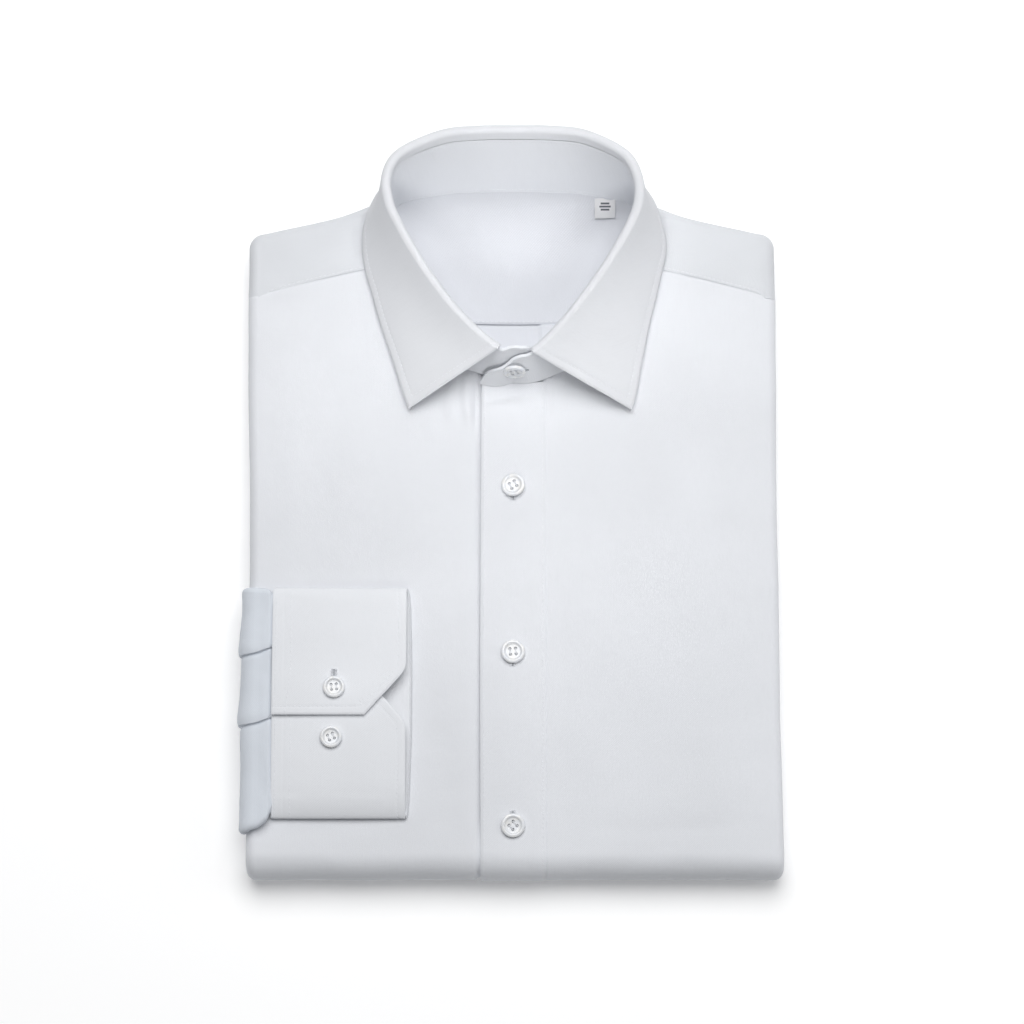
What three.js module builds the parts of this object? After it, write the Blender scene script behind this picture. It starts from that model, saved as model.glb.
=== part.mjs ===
// A dress shirt, folded flat: millimetres, +Z up, the collar towards +Y, the front facing up.
// The body is a pack of folded layers that is folded once more across, so it has an upper
// pack and a lower pack, and its bottom edge is the bend between them. The fronts cover the
// top, the long edges, the bend and the underside. The right sleeve comes out of the groove
// between the packs, round the long edge, and its cuff lies on the front.
// Left and right in this file are as seen from above, with the collar away from the viewer.
import * as THREE from "three";

const { clamp, lerp, smoothstep } = THREE.MathUtils;

// --- driving sizes
const WALL = 1.2; // cloth with its seam allowances
const GAP = 0.3; // between pieces that touch
const PACK = 12; // thickness of one pack, and the outer radius of the bend
const FOLD_Y = -171; // where the bend starts
const TAIL_Y = 133; // end of the lower pack at the long edges
const TAIL_CURVE = 24; // how much further the curved hem reaches in the middle
const RIM = 5; // how far in from an edge its rounding starts
const GROOVE = 8; // depth of the groove between the packs at the shoulder end
const GROOVE_FROM = 92; // nearer the long edges it runs on to the bend
const RIM_TURN = 0.9; // share of the half turn that the cloth makes round an edge
const EDGE_SLACK = 0.7; // more room for the hidden layers along the edges
const CORNER = 8; // radius of the shoulder corners, seen from above
const COLLAR_X = 1.2; // the collar sits this far to the right of the middle
const COLLAR_WALL = 1.6; // interlined cloth of the collar and the cuff
const LEAF_GAP = 0.6; // between the band's top edge and the leaf
const FOLD_RADIUS = 2.6; // collar leaf, where it turns over
const HOLLOW = 14; // depth of the neck hollow in the pack
const HOLLOW_SLACK = 1.2; // more room for the hidden layers under it
const NECK_MIDDLE = { x: COLLAR_X, y: 118 };
const NECK_OUT = 0.5; // from the neck seam to the fronts and the yoke
const NECK_IN = 1.2; // from the neck seam to the pieces inside the neck
const INNER_SEAM_Y = 99; // seam between the inner yoke and the back
const PLACKET = { left: -15.5, right: 16.9, underlap: 12, top: 64.2, wall: 1.4 };
const PLACKET_DIP = { top: 0.8, underside: 1.7 }; // how deep it is bedded in the front
const FRONT_BUTTON = { radius: 5.9, height: 2.5 };
const CUFF_BUTTON = { radius: 5.4, height: 2.5 };
const COLLAR_BUTTON = { radius: 5.7, height: 2.5 };
const FRONT_BUTTON_YS = [13.1, -71.1, -157.6];

// Distance of the long edges from the middle, by place along the body.
const BODY_EDGES = [
  { y: -172, left: 131.2, right: 134.1 },
  { y: -100, left: 131.9, right: 133.1 },
  { y: 0, left: 132.2, right: 132.6 },
  { y: 100, left: 133.3, right: 133.2 },
  { y: 180, left: 133.3, right: 132.8 },
];

// Round the collar from the front middle to the back middle, measured from the collar's
// middle: the neck seam, the roll line where the leaf turns over, and the leaf's outer edge.
const COLLAR = [
  { seamX: 0, seamY: 68.8, rise: 0.5, rollX: 0, rollY: 77, rollZ: 47.5 },
  { seamX: 11, seamY: 69.6, rise: 0.5, rollX: 9.5, rollY: 78.8, rollZ: 48 },
  { seamX: 33.5, seamY: 78, rise: 0.5, rollX: 28.4, rollY: 96, rollZ: 50 },
  { seamX: 49, seamY: 91.5, rise: 0.6, rollX: 43.1, rollY: 115.4, rollZ: 51 },
  { seamX: 58, seamY: 106.5, rise: 0.9, rollX: 51.8, rollY: 129.3, rollZ: 52 },
  { seamX: 63, seamY: 121.5, rise: 1.3, rollX: 58.2, rollY: 141, rollZ: 53 },
  { seamX: 64.7, seamY: 136.5, rise: 1.6, rollX: 62.2, rollY: 152.3, rollZ: 54 },
  { seamX: 63.5, seamY: 150, rise: 1.8, rollX: 62.8, rollY: 165, rollZ: 55.5 },
  { seamX: 57, seamY: 159.3, rise: 1.9, rollX: 56.8, rollY: 176.7, rollZ: 57 },
  { seamX: 36, seamY: 164, rise: 1.9, rollX: 37, rollY: 186.8, rollZ: 58 },
  { seamX: 18, seamY: 165.2, rise: 1.9, rollX: 18, rollY: 189.3, rollZ: 58.7 },
  { seamX: 0, seamY: 165.5, rise: 1.9, rollX: 0, rollY: 189.6, rollZ: 59 },
];
const LEAF_EDGE = [
  { leftX: -46, leftY: 42, rightX: 52, rightY: 42, z: 29 },
  { leftX: -52.5, leftY: 53.2, rightX: 60.6, rightY: 52.7, z: 28 },
  { leftX: -60, leftY: 76, rightX: 65.6, rightY: 76, z: 27.2 },
  { leftX: -66.5, leftY: 95, rightX: 69.8, rightY: 96, z: 26.8 },
  { leftX: -70.8, leftY: 110.5, rightX: 73.2, rightY: 110, z: 26.6 },
  { leftX: -74.6, leftY: 124, rightX: 76.2, rightY: 123, z: 26.4 },
  { leftX: -76, leftY: 137, rightX: 78.3, rightY: 134, z: 26.2 },
  { leftX: -74.8, leftY: 149, rightX: 76.5, rightY: 147, z: 25.8 },
  { leftX: -68, leftY: 165, rightX: 70, rightY: 164, z: 25 },
  { leftX: -48, leftY: 187, rightX: 49.5, rightY: 186, z: 23.5 },
  { leftX: -22, leftY: 194.5, rightX: 24, rightY: 194.3, z: 22.5 },
  { leftX: 0, leftY: 196, rightX: 2.4, rightY: 196, z: 22 },
];
const FRONT_MIDDLE = COLLAR.length - 1; // turn 0 is the back middle, this is the front middle
const BAND_END = 1.27; // how far each end of the band runs past the front middle
const BAND_LIFT = 1.9; // the left end of the band lies on its right end

// Cuff, seen along the sleeve: its outer face from the end that lies on top, over the far
// edge, under the cuff and up to the end that lies below. free is the edge away from the
// sleeve, and the two ends have cut corners.
const CUFF_SEAM_X = -118.5;
const CUFF = [
  { y: -103.6, z: 32.9, free: -72.9 },
  { y: -95, z: 32.9, free: -64.9 },
  { y: -82, z: 32.7, free: -53.2 },
  { y: -79, z: 32.6, free: -52.3 },
  { y: -62, z: 32.1, free: -52.3 },
  { y: -48, z: 31, free: -52.3 },
  { y: -42, z: 29.6, free: -52.3 },
  { y: -39.9, z: 27.9, free: -52.1 },
  { y: -40.3, z: 26, free: -51.6 },
  { y: -43.5, z: 24.5, free: -50.9 },
  { y: -50, z: 24.3, free: -50 },
  { y: -80, z: 24.3, free: -49.4 },
  { y: -115, z: 24.3, free: -49.6 },
  { y: -145, z: 24.3, free: -50.4 },
  { y: -151.5, z: 24.5, free: -51 },
  { y: -154.8, z: 25.8, free: -51.8 },
  { y: -155.3, z: 27.4, free: -52.2 },
  { y: -152.8, z: 28.9, free: -52.5 },
  { y: -146, z: 29.8, free: -52.5 },
  { y: -130, z: 30.6, free: -52.5 },
  { y: -112, z: 31, free: -52.5 },
  { y: -107, z: 31, free: -52.7 },
  { y: -95, z: 30.9, free: -63 },
  { y: -84, z: 30.7, free: -72.5 },
];
const CUFF_BUTTONS = [
  { x: -87.7, y: -90, z: 32.9 },
  { x: -89, y: -114.5, z: 31 },
];

// Sleeve from the cuff seam, over the long edge and into the groove: x is where it lies on
// the front, and turn is the angle round the edge.
const SLEEVE = [
  { x: -118.8, turn: 0, top: -40.4, end: -155, thick: 6.3 },
  { x: -122, turn: 0, top: -39.8, end: -157, thick: 6.1 },
  { x: -125.5, turn: 0, top: -39.4, end: -159.5, thick: 5.6 },
  { x: -127, turn: 22, top: -39.2, end: -160.8, thick: 4.9 },
  { x: -127, turn: 48, top: -39, end: -161.2, thick: 4.1 },
  { x: -127, turn: 76, top: -39, end: -161.2, thick: 3.4 },
  { x: -127, turn: 104, top: -39.2, end: -161, thick: 3 },
  { x: -127, turn: 130, top: -39.6, end: -160.6, thick: 2.7 },
  { x: -127, turn: 146, top: -40, end: -160.2, thick: 2.6 },
];
const PLEATS = [-69.5, -104.5]; // where each pleat's fold shows, along Y
const PLEAT_SLANT = 3; // how far a pleat drops from the cuff to the long edge
const PLEAT_RAISE = 1.3;
const PLEAT_DROP = 0.8; // length over which the fold falls to the next strip
const SLEEVE_WALL = 1.1;

const TAG = { x: 45.6, top: 160.2, width: 12, length: 10, wall: 1 };

// --- small helpers
const point = (x, y, z) => new THREE.Vector3(x, y, z);
const steps = (count) => Array.from({ length: count + 1 }, (_, i) => i / count);

// A column of a table at any value of its key, straight between rows.
function column(table, key, value, name) {
  let i = 1;
  while (i < table.length - 1 && table[i][key] < value) i++;
  const [a, b] = [table[i - 1], table[i]];
  return lerp(a[name], b[name], clamp((value - a[key]) / (b[key] - a[key]), 0, 1));
}

// A closed mesh from grids of triangles; it is turned right side out at the end.
function closedMesh(points, triangles) {
  let volume = 0;
  for (const [a, b, c] of triangles) {
    volume += points[a].dot(points[b].clone().cross(points[c]));
  }
  const turned = volume < 0 ? triangles.map(([a, b, c]) => [a, c, b]) : triangles;
  const geometry = new THREE.BufferGeometry().setFromPoints(points);
  geometry.setIndex(turned.flat());
  geometry.computeVertexNormals();
  return geometry;
}

// A wall of cloth: a grid of points on its outer face and one on its inner face. A ring
// closes on itself along each row.
function wallBetween(outer, inner, ring = false) {
  const rows = outer.length;
  const columns = outer[0].length;
  const points = [...outer.flat(), ...inner.flat()];
  const at = (face, i, j) => face * rows * columns + i * columns + (j % columns);
  const triangles = [];
  const quad = (a, b, c, d) => triangles.push([a, b, c], [a, c, d]);
  const spans = ring ? columns : columns - 1;
  for (let i = 0; i < rows - 1; i++) {
    for (let j = 0; j < spans; j++) {
      quad(at(0, i, j), at(0, i + 1, j), at(0, i + 1, j + 1), at(0, i, j + 1));
      quad(at(1, i, j), at(1, i, j + 1), at(1, i + 1, j + 1), at(1, i + 1, j));
    }
  }
  for (let j = 0; j < spans; j++) {
    quad(at(0, 0, j), at(0, 0, j + 1), at(1, 0, j + 1), at(1, 0, j));
    quad(at(0, rows - 1, j + 1), at(0, rows - 1, j), at(1, rows - 1, j), at(1, rows - 1, j + 1));
  }
  if (!ring) {
    const last = columns - 1;
    for (let i = 0; i < rows - 1; i++) {
      quad(at(0, i + 1, 0), at(0, i, 0), at(1, i, 0), at(1, i + 1, 0));
      quad(at(0, i, last), at(0, i + 1, last), at(1, i + 1, last), at(1, i, last));
    }
  }
  return closedMesh(points, triangles);
}

// The grid moved by a distance along its own normals; side picks which way is in.
function movedIn(grid, distance, side) {
  const rows = grid.length - 1;
  const columns = grid[0].length - 1;
  return grid.map((row, i) =>
    row.map((p, j) => {
      const along = grid[Math.min(i + 1, rows)][j].clone().sub(grid[Math.max(i - 1, 0)][j]);
      const across = row[Math.min(j + 1, columns)].clone().sub(row[Math.max(j - 1, 0)]);
      const normal = along.cross(across).normalize();
      return p.clone().addScaledVector(normal, -side * distance);
    }),
  );
}

const wall = (grid, thickness, side) => wallBetween(grid, movedIn(grid, thickness, side));

// --- the folded pack
// Distance of a long edge from the middle; side is -1 on the left and 1 on the right.
const bodyEdge = (side, y) => column(BODY_EDGES, "y", y, side < 0 ? "left" : "right");

// Thickness of the upper pack, thinner towards the shoulders.
const packHeight = (y) => PACK - 3 * smoothstep(y, 124, 166);
const packTop = (y) => PACK + packHeight(y);

// A place on the fold's path: on the upper pack, in the bend or on the lower pack, at a
// distance r from the plane between the packs.
function onPath(place, x, r) {
  if (place.leg === "bend") {
    return point(x, place.y - r * Math.sin(place.turn), PACK + r * Math.cos(place.turn));
  }
  return point(x, place.y, place.leg === "upper" ? PACK + r : PACK - r);
}

// How far round the fold a place is: 0 on top, 1 on the underside.
function roundFold(place) {
  if (place.leg === "bend") return place.turn / Math.PI;
  return place.leg === "upper" ? 0 : 1;
}

const placketDip = (place) => lerp(PLACKET_DIP.top, PLACKET_DIP.underside, roundFold(place));

// Places from the tail on the underside, round the bend and up to the top.
function pathPlaces(tailY, topY, lowerSpans, bendSpans, upperSpans) {
  return [
    ...steps(lowerSpans).map((f) => ({ leg: "lower", y: lerp(tailY, FOLD_Y, f) })),
    ...steps(bendSpans)
      .slice(1, -1)
      .map((f) => ({ leg: "bend", y: FOLD_Y, turn: Math.PI * (1 - f) })),
    ...steps(upperSpans).map((f) => ({ leg: "upper", y: lerp(FOLD_Y, topY, f) })),
  ];
}

// Shoulder fold at the back end of the upper pack: straight slopes, and a rise behind the
// neck.
function shoulderY(x) {
  const far = Math.abs(x);
  return 142.6 + (133 - far) * 0.236 + 9 * (1 - smoothstep(far, 36, 80));
}

// Curved hem of the tail, folded under the shoulders.
function tailY(x) {
  return TAIL_Y + TAIL_CURVE * Math.cos((Math.PI / 2) * Math.min(Math.abs(x) / 110, 1)) ** 2;
}

// Seam between a front and the yoke, seen from above.
function yokeSeamY(x) {
  const far = Math.abs(x) > 127 ? 133.6 : Math.abs(x);
  const share = (far - 74) / 59.6;
  return 124.4 - 15.4 * share + 3 * share * (1 - share);
}

// --- collar curves, by turn: 0 at the back middle, -11 or 11 at the front middle
const RUN_PAST = 2; // rows repeated past the front middle, so both ends can cross it

function ringCurve(rowPoint) {
  const points = [];
  const last = FRONT_MIDDLE + RUN_PAST;
  for (let turn = -last; turn <= last; turn++) {
    const past = Math.abs(turn) > FRONT_MIDDLE;
    const side = (turn < 0 ? -1 : 1) * (past ? -1 : 1);
    points.push(rowPoint(Math.abs(FRONT_MIDDLE - Math.abs(turn)), side));
  }
  return new THREE.CatmullRomCurve3(points, false, "catmullrom", 0.5);
}

const seamCurve = ringCurve((i, side) =>
  point(COLLAR_X + side * COLLAR[i].seamX, COLLAR[i].seamY, packTop(COLLAR[i].seamY) + COLLAR[i].rise),
);
const rollCurve = ringCurve((i, side) =>
  point(COLLAR_X + side * COLLAR[i].rollX, COLLAR[i].rollY, COLLAR[i].rollZ),
);
const edgeCurve = ringCurve((i, side) =>
  side < 0
    ? point(LEAF_EDGE[i].leftX, LEAF_EDGE[i].leftY, LEAF_EDGE[i].z)
    : point(LEAF_EDGE[i].rightX, LEAF_EDGE[i].rightY, LEAF_EDGE[i].z),
);

const TURNS = 2 * (FRONT_MIDDLE + RUN_PAST);
const curveShare = (turn) => (turn + FRONT_MIDDLE + RUN_PAST) / TURNS;

// Level direction away from the neck, square to a ring curve.
function outward(curve, turn) {
  const tangent = curve.getTangent(curveShare(turn));
  return point(-tangent.y, tangent.x, 0).normalize();
}

// Seam, roll and edge points at one turn, with the part of the band that lies on top lifted.
function collarSection(turn) {
  const share = curveShare(turn);
  const lift = BAND_LIFT * smoothstep(turn, FRONT_MIDDLE - 2.4, FRONT_MIDDLE - 0.9);
  const out = outward(rollCurve, turn);
  const seam = seamCurve.getPoint(share);
  seam.addScaledVector(outward(seamCurve, turn), lift * 1.15);
  const roll = rollCurve.getPoint(share).addScaledVector(out, lift);
  return { turn, seam, roll, out, edge: edgeCurve.getPoint(share) };
}

// Where a straight line from a point touches the roll's circle, as an angle about its
// middle. Both are seen square to the roll; way is -1 on the neck side and 1 outside.
function touchAngle(u, z, way) {
  const distance = Math.hypot(u, z);
  return Math.atan2(z, u) + way * Math.acos(clamp(FOLD_RADIUS / distance, -1, 1));
}

// The line of the collar's neck-side face at one turn: from the seam to the roll.
function neckSide({ seam, roll, out }) {
  const middle = roll.clone().setZ(roll.z - FOLD_RADIUS);
  const from = seam.clone().sub(middle);
  const angle = touchAngle(from.dot(out), from.z, -1);
  const touch = middle
    .clone()
    .addScaledVector(out, FOLD_RADIUS * Math.cos(angle))
    .setZ(middle.z + FOLD_RADIUS * Math.sin(angle));
  return { middle, angle, touch, at: (f) => seam.clone().lerp(touch, f) };
}

// Share of the neck side that the band covers; the leaf has the rest.
const bandShare = (turn) => lerp(0.89, 0.93, smoothstep(Math.abs(turn), 2, 5));

// --- neck hollow
const neckOutline = steps(160).map((f) => {
  const p = seamCurve.getPoint(curveShare(lerp(-FRONT_MIDDLE, FRONT_MIDDLE, f)));
  const [dx, dy] = [p.x - NECK_MIDDLE.x, p.y - NECK_MIDDLE.y];
  return { angle: Math.atan2(dx, dy), reach: Math.hypot(dx, dy) };
});
neckOutline.sort((a, b) => a.angle - b.angle);

// 0 in the middle of the neck, 1 on its seam.
function neckShare(x, y) {
  const [dx, dy] = [x - NECK_MIDDLE.x, y - NECK_MIDDLE.y];
  return Math.hypot(dx, dy) / column(neckOutline, "angle", Math.atan2(dx, dy), "reach");
}

const hollowDepth = (x, y) => HOLLOW * (1 - Math.min(neckShare(x, y), 1) ** 3);
const hollowTop = (x, y) => packTop(y) - hollowDepth(x, y);

// --- pieces
// Layers hidden in the fold: one rounded solid, with a groove between the packs and the
// edges of its layers at the tail.
function hiddenLayers() {
  const inset = WALL + GAP;
  const rim = RIM - inset;
  const tailLayers = [0, 3.2, 1.1, 4.3];
  const loopAt = (side, u, off) => {
    const xAt = (y) => {
      const edge = bodyEdge(side, y) - inset - EDGE_SLACK;
      return side * (off === null ? u * (edge - rim) : edge - off);
    };
    const full = off === null ? 1 : Math.sqrt(1 - ((rim - off) / rim) ** 2);
    const nominal = Math.abs(xAt(0));
    const inCorner = Math.max(nominal - (bodyEdge(side, 140) - CORNER), 0);
    const corner = CORNER - Math.sqrt(Math.max((CORNER - inset) ** 2 - inCorner ** 2, 1)) - inset;
    const slope = (shoulderY(nominal - 1) - shoulderY(nominal + 1)) / 2;
    const endY = shoulderY(nominal) - (inset + EDGE_SLACK) * Math.hypot(1, slope) - corner;
    const slotY = nominal < GROOVE_FROM ? endY - rim - GROOVE : FOLD_Y;
    const bedded = (x) => smoothstep(x, -19, -16.2) * (1 - smoothstep(x, 12.6, 16.4));
    const radius = (place, way) => {
      const height = place.leg === "upper" ? packHeight(place.y) : PACK;
      const r = height / 2 + way * (height / 2 - inset) * full;
      if (way < 0) return r;
      const x = xAt(place.y);
      const flat = r - placketDip(place) * bedded(x);
      if (place.leg !== "upper" || place.y < 40) return flat;
      const slack = HOLLOW_SLACK * (1 - smoothstep(neckShare(x, place.y), 1.05, 1.2));
      return flat - hollowDepth(x, place.y) - slack;
    };
    const put = (place, r) => onPath(place, xAt(place.y), r);
    const loop = [];
    const upperYs = [0.04, 0.09, 0.16, 0.24, 0.33, 0.42, 0.52, 0.62, 0.72, 0.82, 0.91, 1].map((f) =>
      lerp(endY - rim, 60, f),
    );
    for (const y of [...upperYs, -20, -95, FOLD_Y]) {
      const place = { leg: "upper", y };
      loop.push(put(place, radius(place, 1)));
    }
    for (const f of steps(6).slice(1)) {
      const place = { leg: "bend", y: FOLD_Y, turn: Math.PI * f };
      loop.push(put(place, radius(place, 1)));
    }
    for (const y of [-60, 40, tailY(nominal) - 6]) {
      const place = { leg: "lower", y };
      loop.push(put(place, radius(place, 1)));
    }
    tailLayers.forEach((setBack, i) => {
      for (const f of [0.06, 0.5, 0.94]) {
        const bulge = f === 0.5 ? 1.1 : 0;
        const place = { leg: "lower", y: tailY(nominal) + 3 - setBack + bulge };
        const share = (i + f) / tailLayers.length;
        loop.push(put(place, lerp(radius(place, 1), radius(place, -1), share)));
      }
    });
    for (const f of [0.25, 0.65, 1]) {
      const place = { leg: "lower", y: lerp(tailY(nominal) - 6, slotY, f) };
      loop.push(put(place, radius(place, -1)));
    }
    for (const f of [0.25, 0.5, 0.75]) {
      const place = { leg: "bend", y: slotY, turn: Math.PI * (1 - f) };
      loop.push(put(place, radius(place, -1)));
    }
    for (const f of [0, 0.45, 0.8]) {
      const place = { leg: "upper", y: lerp(slotY, endY - rim, f) };
      loop.push(put(place, radius(place, -1)));
    }
    for (const f of steps(4)) {
      const angle = Math.PI * (f - 0.5);
      const y = endY - rim + rim * Math.cos(angle);
      const height = packHeight(endY - rim);
      const r = height / 2 + (height / 2 - inset) * full * Math.sin(angle);
      loop.push(put({ leg: "upper", y }, r));
    }
    return loop;
  };
  const rims = [0.02, 0.15, 0.5].map((f) => rim * f);
  const leftRims = rims.map((off) => loopAt(-1, 1, off));
  const rightRims = rims.map((off) => loopAt(1, 1, off)).reverse();
  const leftUs = [1, 0.84, 0.66, 0.575, 0.52, 0.44, 0.35, 0.25, 0.15, 0.127, 0.06];
  const rightUs = [0, 0.098, 0.129, 0.25, 0.35, 0.44, 0.52, 0.575, 0.66, 0.84, 1];
  const loops = [
    ...leftRims,
    ...leftUs.map((u) => loopAt(-1, u, null)),
    ...rightUs.map((u) => loopAt(1, u, null)),
    ...rightRims,
  ];
  const size = loops[0].length;
  const points = loops.flat();
  const triangles = [];
  for (let i = 0; i < loops.length - 1; i++) {
    for (let j = 0; j < size; j++) {
      const [a, b] = [i * size + j, i * size + ((j + 1) % size)];
      triangles.push([a, a + size, b + size], [a, b + size, b]);
    }
  }
  const capOf = (loop) =>
    THREE.ShapeUtils.triangulateShape(
      loop.map((p) => new THREE.Vector2(p.y, p.z)),
      [],
    );
  const last = (loops.length - 1) * size;
  const signedArea = (loop) => THREE.ShapeUtils.area(loop.map((p) => new THREE.Vector2(p.y, p.z)));
  const firstWay = signedArea(loops[0]) > 0;
  for (const [a, b, c] of capOf(loops[0])) triangles.push(firstWay ? [a, b, c] : [a, c, b]);
  for (const [a, b, c] of capOf(loops[loops.length - 1])) {
    triangles.push(firstWay ? [last + a, last + c, last + b] : [last + a, last + b, last + c]);
  }
  return closedMesh(points, triangles);
}

// Neckline of a front: how far up the front reaches at x, GAP outside the neck seam.
function necklineY(x) {
  const side = x < COLLAR_X ? -1 : 1;
  let previous = null;
  for (const f of steps(60)) {
    const turn = side * lerp(FRONT_MIDDLE, 4.5, f);
    const p = seamCurve.getPoint(curveShare(turn)).addScaledVector(outward(seamCurve, turn), NECK_OUT);
    const reach = side * (p.x - x);
    if (reach >= 0) {
      if (!previous) return p.y;
      return lerp(previous.y, p.y, previous.reach / (previous.reach - reach));
    }
    previous = { y: p.y, reach };
  }
  return Infinity;
}

const frontTopY = (x) => Math.min(necklineY(x), yokeSeamY(x));

// One front, from its tail on the underside, round the bend and up to the yoke and neck,
// and round the long edge into the groove between the packs.
function front(side, flatXs) {
  const bedded = (x) => (side < 0 ? smoothstep(x, -18.6, -16) : 0);
  const rimShares = steps(6).map((f) => f * RIM_TURN);
  const columns = [
    ...flatXs.map((x) => ({ x, turn: null })),
    ...rimShares.map((turn) => ({ x: side * (bodyEdge(side, 0) - RIM), turn })),
  ];
  const grid = columns.map(({ x, turn }) =>
    pathPlaces(tailY(x), frontTopY(x), 3, 8, 8).map((place) => {
      const height = place.leg === "upper" ? packHeight(place.y) : PACK;
      if (turn === null) {
        return onPath(place, x, height - placketDip(place) * bedded(x));
      }
      const edge = bodyEdge(side, place.y) - RIM + RIM * Math.sin(Math.PI * turn);
      return onPath(place, side * edge, (height / 2) * (1 + Math.cos(Math.PI * turn)));
    }),
  );
  return wall(grid, WALL, side);
}

// Placket down the middle, bedded a little in the fronts and flush with them underneath.
function placket() {
  const xs = [PLACKET.left, -14.6, -6, 4, 12.5, PLACKET.right];
  const grid = xs.map((x) =>
    pathPlaces(tailY(x), PLACKET.top, 2, 8, 4).map((place) => {
      const raised = GAP + PLACKET.wall - placketDip(place);
      const lowEdge = x === PLACKET.right ? 0.5 * (1 - roundFold(place)) : 0;
      const softEdge = x === PLACKET.left ? 0.3 : 0;
      return onPath(place, x, PACK + raised - lowEdge - softEdge);
    }),
  );
  return wall(grid, PLACKET.wall - 0.05, 1);
}

// Outer yoke: from the front seams and the neck seam, out to the shoulder fold and round it.
function yoke() {
  const half = (side) => {
    const edgeX = bodyEdge(side, 140);
    const seamStart = yokeSeamY(edgeX) + 2 * GAP;
    const cornerMiddle = { x: edgeX - CORNER, y: shoulderY(edgeX - CORNER) - CORNER };
    const outline = [];
    for (const f of steps(2)) {
      outline.push({ x: edgeX, y: lerp(seamStart, cornerMiddle.y, f), nx: 1, ny: 0 });
    }
    for (const f of [0.33, 0.66, 1]) {
      const angle = (f * Math.PI) / 2.1;
      const [nx, ny] = [Math.cos(angle), Math.sin(angle)];
      const x = cornerMiddle.x + CORNER * nx;
      outline.push({ x, y: cornerMiddle.y + CORNER * ny, nx, ny });
    }
    for (const x of [105, 88, 76, 72, 69, 66, 63, 60, 56, 51, 44, 33, 18, 0]) {
      const slope = shoulderY(x - 1) - shoulderY(x + 1);
      const length = Math.hypot(slope, 2);
      outline.push({ x, y: shoulderY(x), nx: slope / length, ny: 2 / length });
    }
    const seamXs = [edgeX - RIM - 0.5, 122, 116, 110, 103, 96, 90, 82, 74, 68];
    const inner = seamXs.map((x) => ({ x, y: yokeSeamY(x) + GAP }));
    inner[0].y = seamStart;
    const neckTurns = [5.6, 5, 4.4, 3.8, 3.3, 2.7, 2.1, 1.4, 0.7, 0];
    for (const turn of neckTurns) {
      const p = seamCurve.getPoint(curveShare(side * turn));
      p.addScaledVector(outward(seamCurve, side * turn), NECK_OUT);
      inner.push({ x: side * p.x, y: Math.max(p.y, yokeSeamY(70) + GAP) });
    }
    return outline.map((rimPoint, i) => {
      const rimStart = { x: rimPoint.x - RIM * rimPoint.nx, y: rimPoint.y - RIM * rimPoint.ny };
      const start = inner[i];
      const flat = [0, 0.5].map((f) => {
        const [x, y] = [lerp(start.x, rimStart.x, f), lerp(start.y, rimStart.y, f)];
        return point(side * x, y, packTop(y));
      });
      const height = packHeight(rimStart.y);
      const round = steps(6).map((f) => {
        const angle = Math.PI * RIM_TURN * f;
        const reach = RIM * Math.sin(angle);
        return point(
          side * (rimStart.x + rimPoint.nx * reach),
          rimStart.y + rimPoint.ny * reach,
          PACK + (height / 2) * (1 + Math.cos(angle)),
        );
      });
      return [...flat, ...round];
    });
  };
  const left = half(-1);
  const right = half(1).reverse().slice(1);
  return wall([...left, ...right], WALL, 1);
}

// A piece seen inside the neck: from the neck seam between two turns to the inner seam.
function insideNeck(turns, lineY, reach) {
  const first = turns[0];
  const last = turns[turns.length - 1];
  const grid = turns.map((turn) => {
    const start = seamCurve.getPoint(curveShare(turn));
    start.addScaledVector(outward(seamCurve, turn), -NECK_IN);
    const share = (turn - first) / (last - first);
    const way = start.clone().setX(COLLAR_X + lerp(-reach, reach, share)).setY(lineY);
    return steps(6).map((f) => {
      const p = start.clone().lerp(way, f);
      return p.setZ(hollowTop(p.x, p.y));
    });
  });
  return grid;
}

const innerYoke = () =>
  wall(
    insideNeck(steps(16).map((f) => lerp(-7.2, 7.2, f)), INNER_SEAM_Y + GAP / 2, 50),
    WALL,
    -1,
  );

function backPanel() {
  const turns = steps(14).map((f) => lerp(7.8, 2 * FRONT_MIDDLE - 7.8, f));
  const wrapped = turns.map((turn) => (turn > FRONT_MIDDLE ? turn - 2 * FRONT_MIDDLE : turn));
  const grid = wrapped.map((turn, i) => {
    const start = seamCurve.getPoint(curveShare(turn));
    start.addScaledVector(outward(seamCurve, turn), -NECK_IN);
    const end = point(COLLAR_X + lerp(50, -50, i / 14), INNER_SEAM_Y - GAP / 2, 0);
    return steps(4).map((f) => {
      const p = start.clone().lerp(end, f);
      return p.setZ(hollowTop(p.x, p.y));
    });
  });
  return wall(grid, WALL, -1);
}

// Turns of the collar's sections between the two ends of the leaf.
const halfLeaf = [10.1, 9.75, 9.2, 8.4, 7.5, 6.5, 5.4, 4.3, 3.2, 2.1, 1.1];
const LEAF_TURNS = [...halfLeaf.map((turn) => -turn), 0, ...[...halfLeaf].reverse()];

// Band round the neck. Its left end lies over its right end, and both ends are rounded.
function bandTopShare(turn) {
  const past = (Math.abs(turn) - (FRONT_MIDDLE - 1)) / (1 + BAND_END);
  if (past <= 0) return bandShare(turn);
  const over = turn > 0;
  const falling = over ? 0.42 * smoothstep(past, 0.2, 1) : 0.08 * past;
  const roundEnd = (1 - Math.min(past, 0.999) ** 5) ** 0.4;
  return bandShare(turn) * (1 - falling) * Math.max(roundEnd, 0.25);
}

function collarBand() {
  const pastLeaf = [2.17, 2.05, 1.8, 1.4, 0.9, 0.4].map((d) => LEAF_TURNS[0] - d);
  const turns = [...pastLeaf, ...LEAF_TURNS, ...pastLeaf.map((turn) => -turn).reverse()];
  const grid = turns.map((turn) => {
    const line = neckSide(collarSection(turn));
    return steps(3).map((f) => line.at(f * bandTopShare(turn)));
  });
  return wall(grid, COLLAR_WALL, 1);
}

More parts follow.
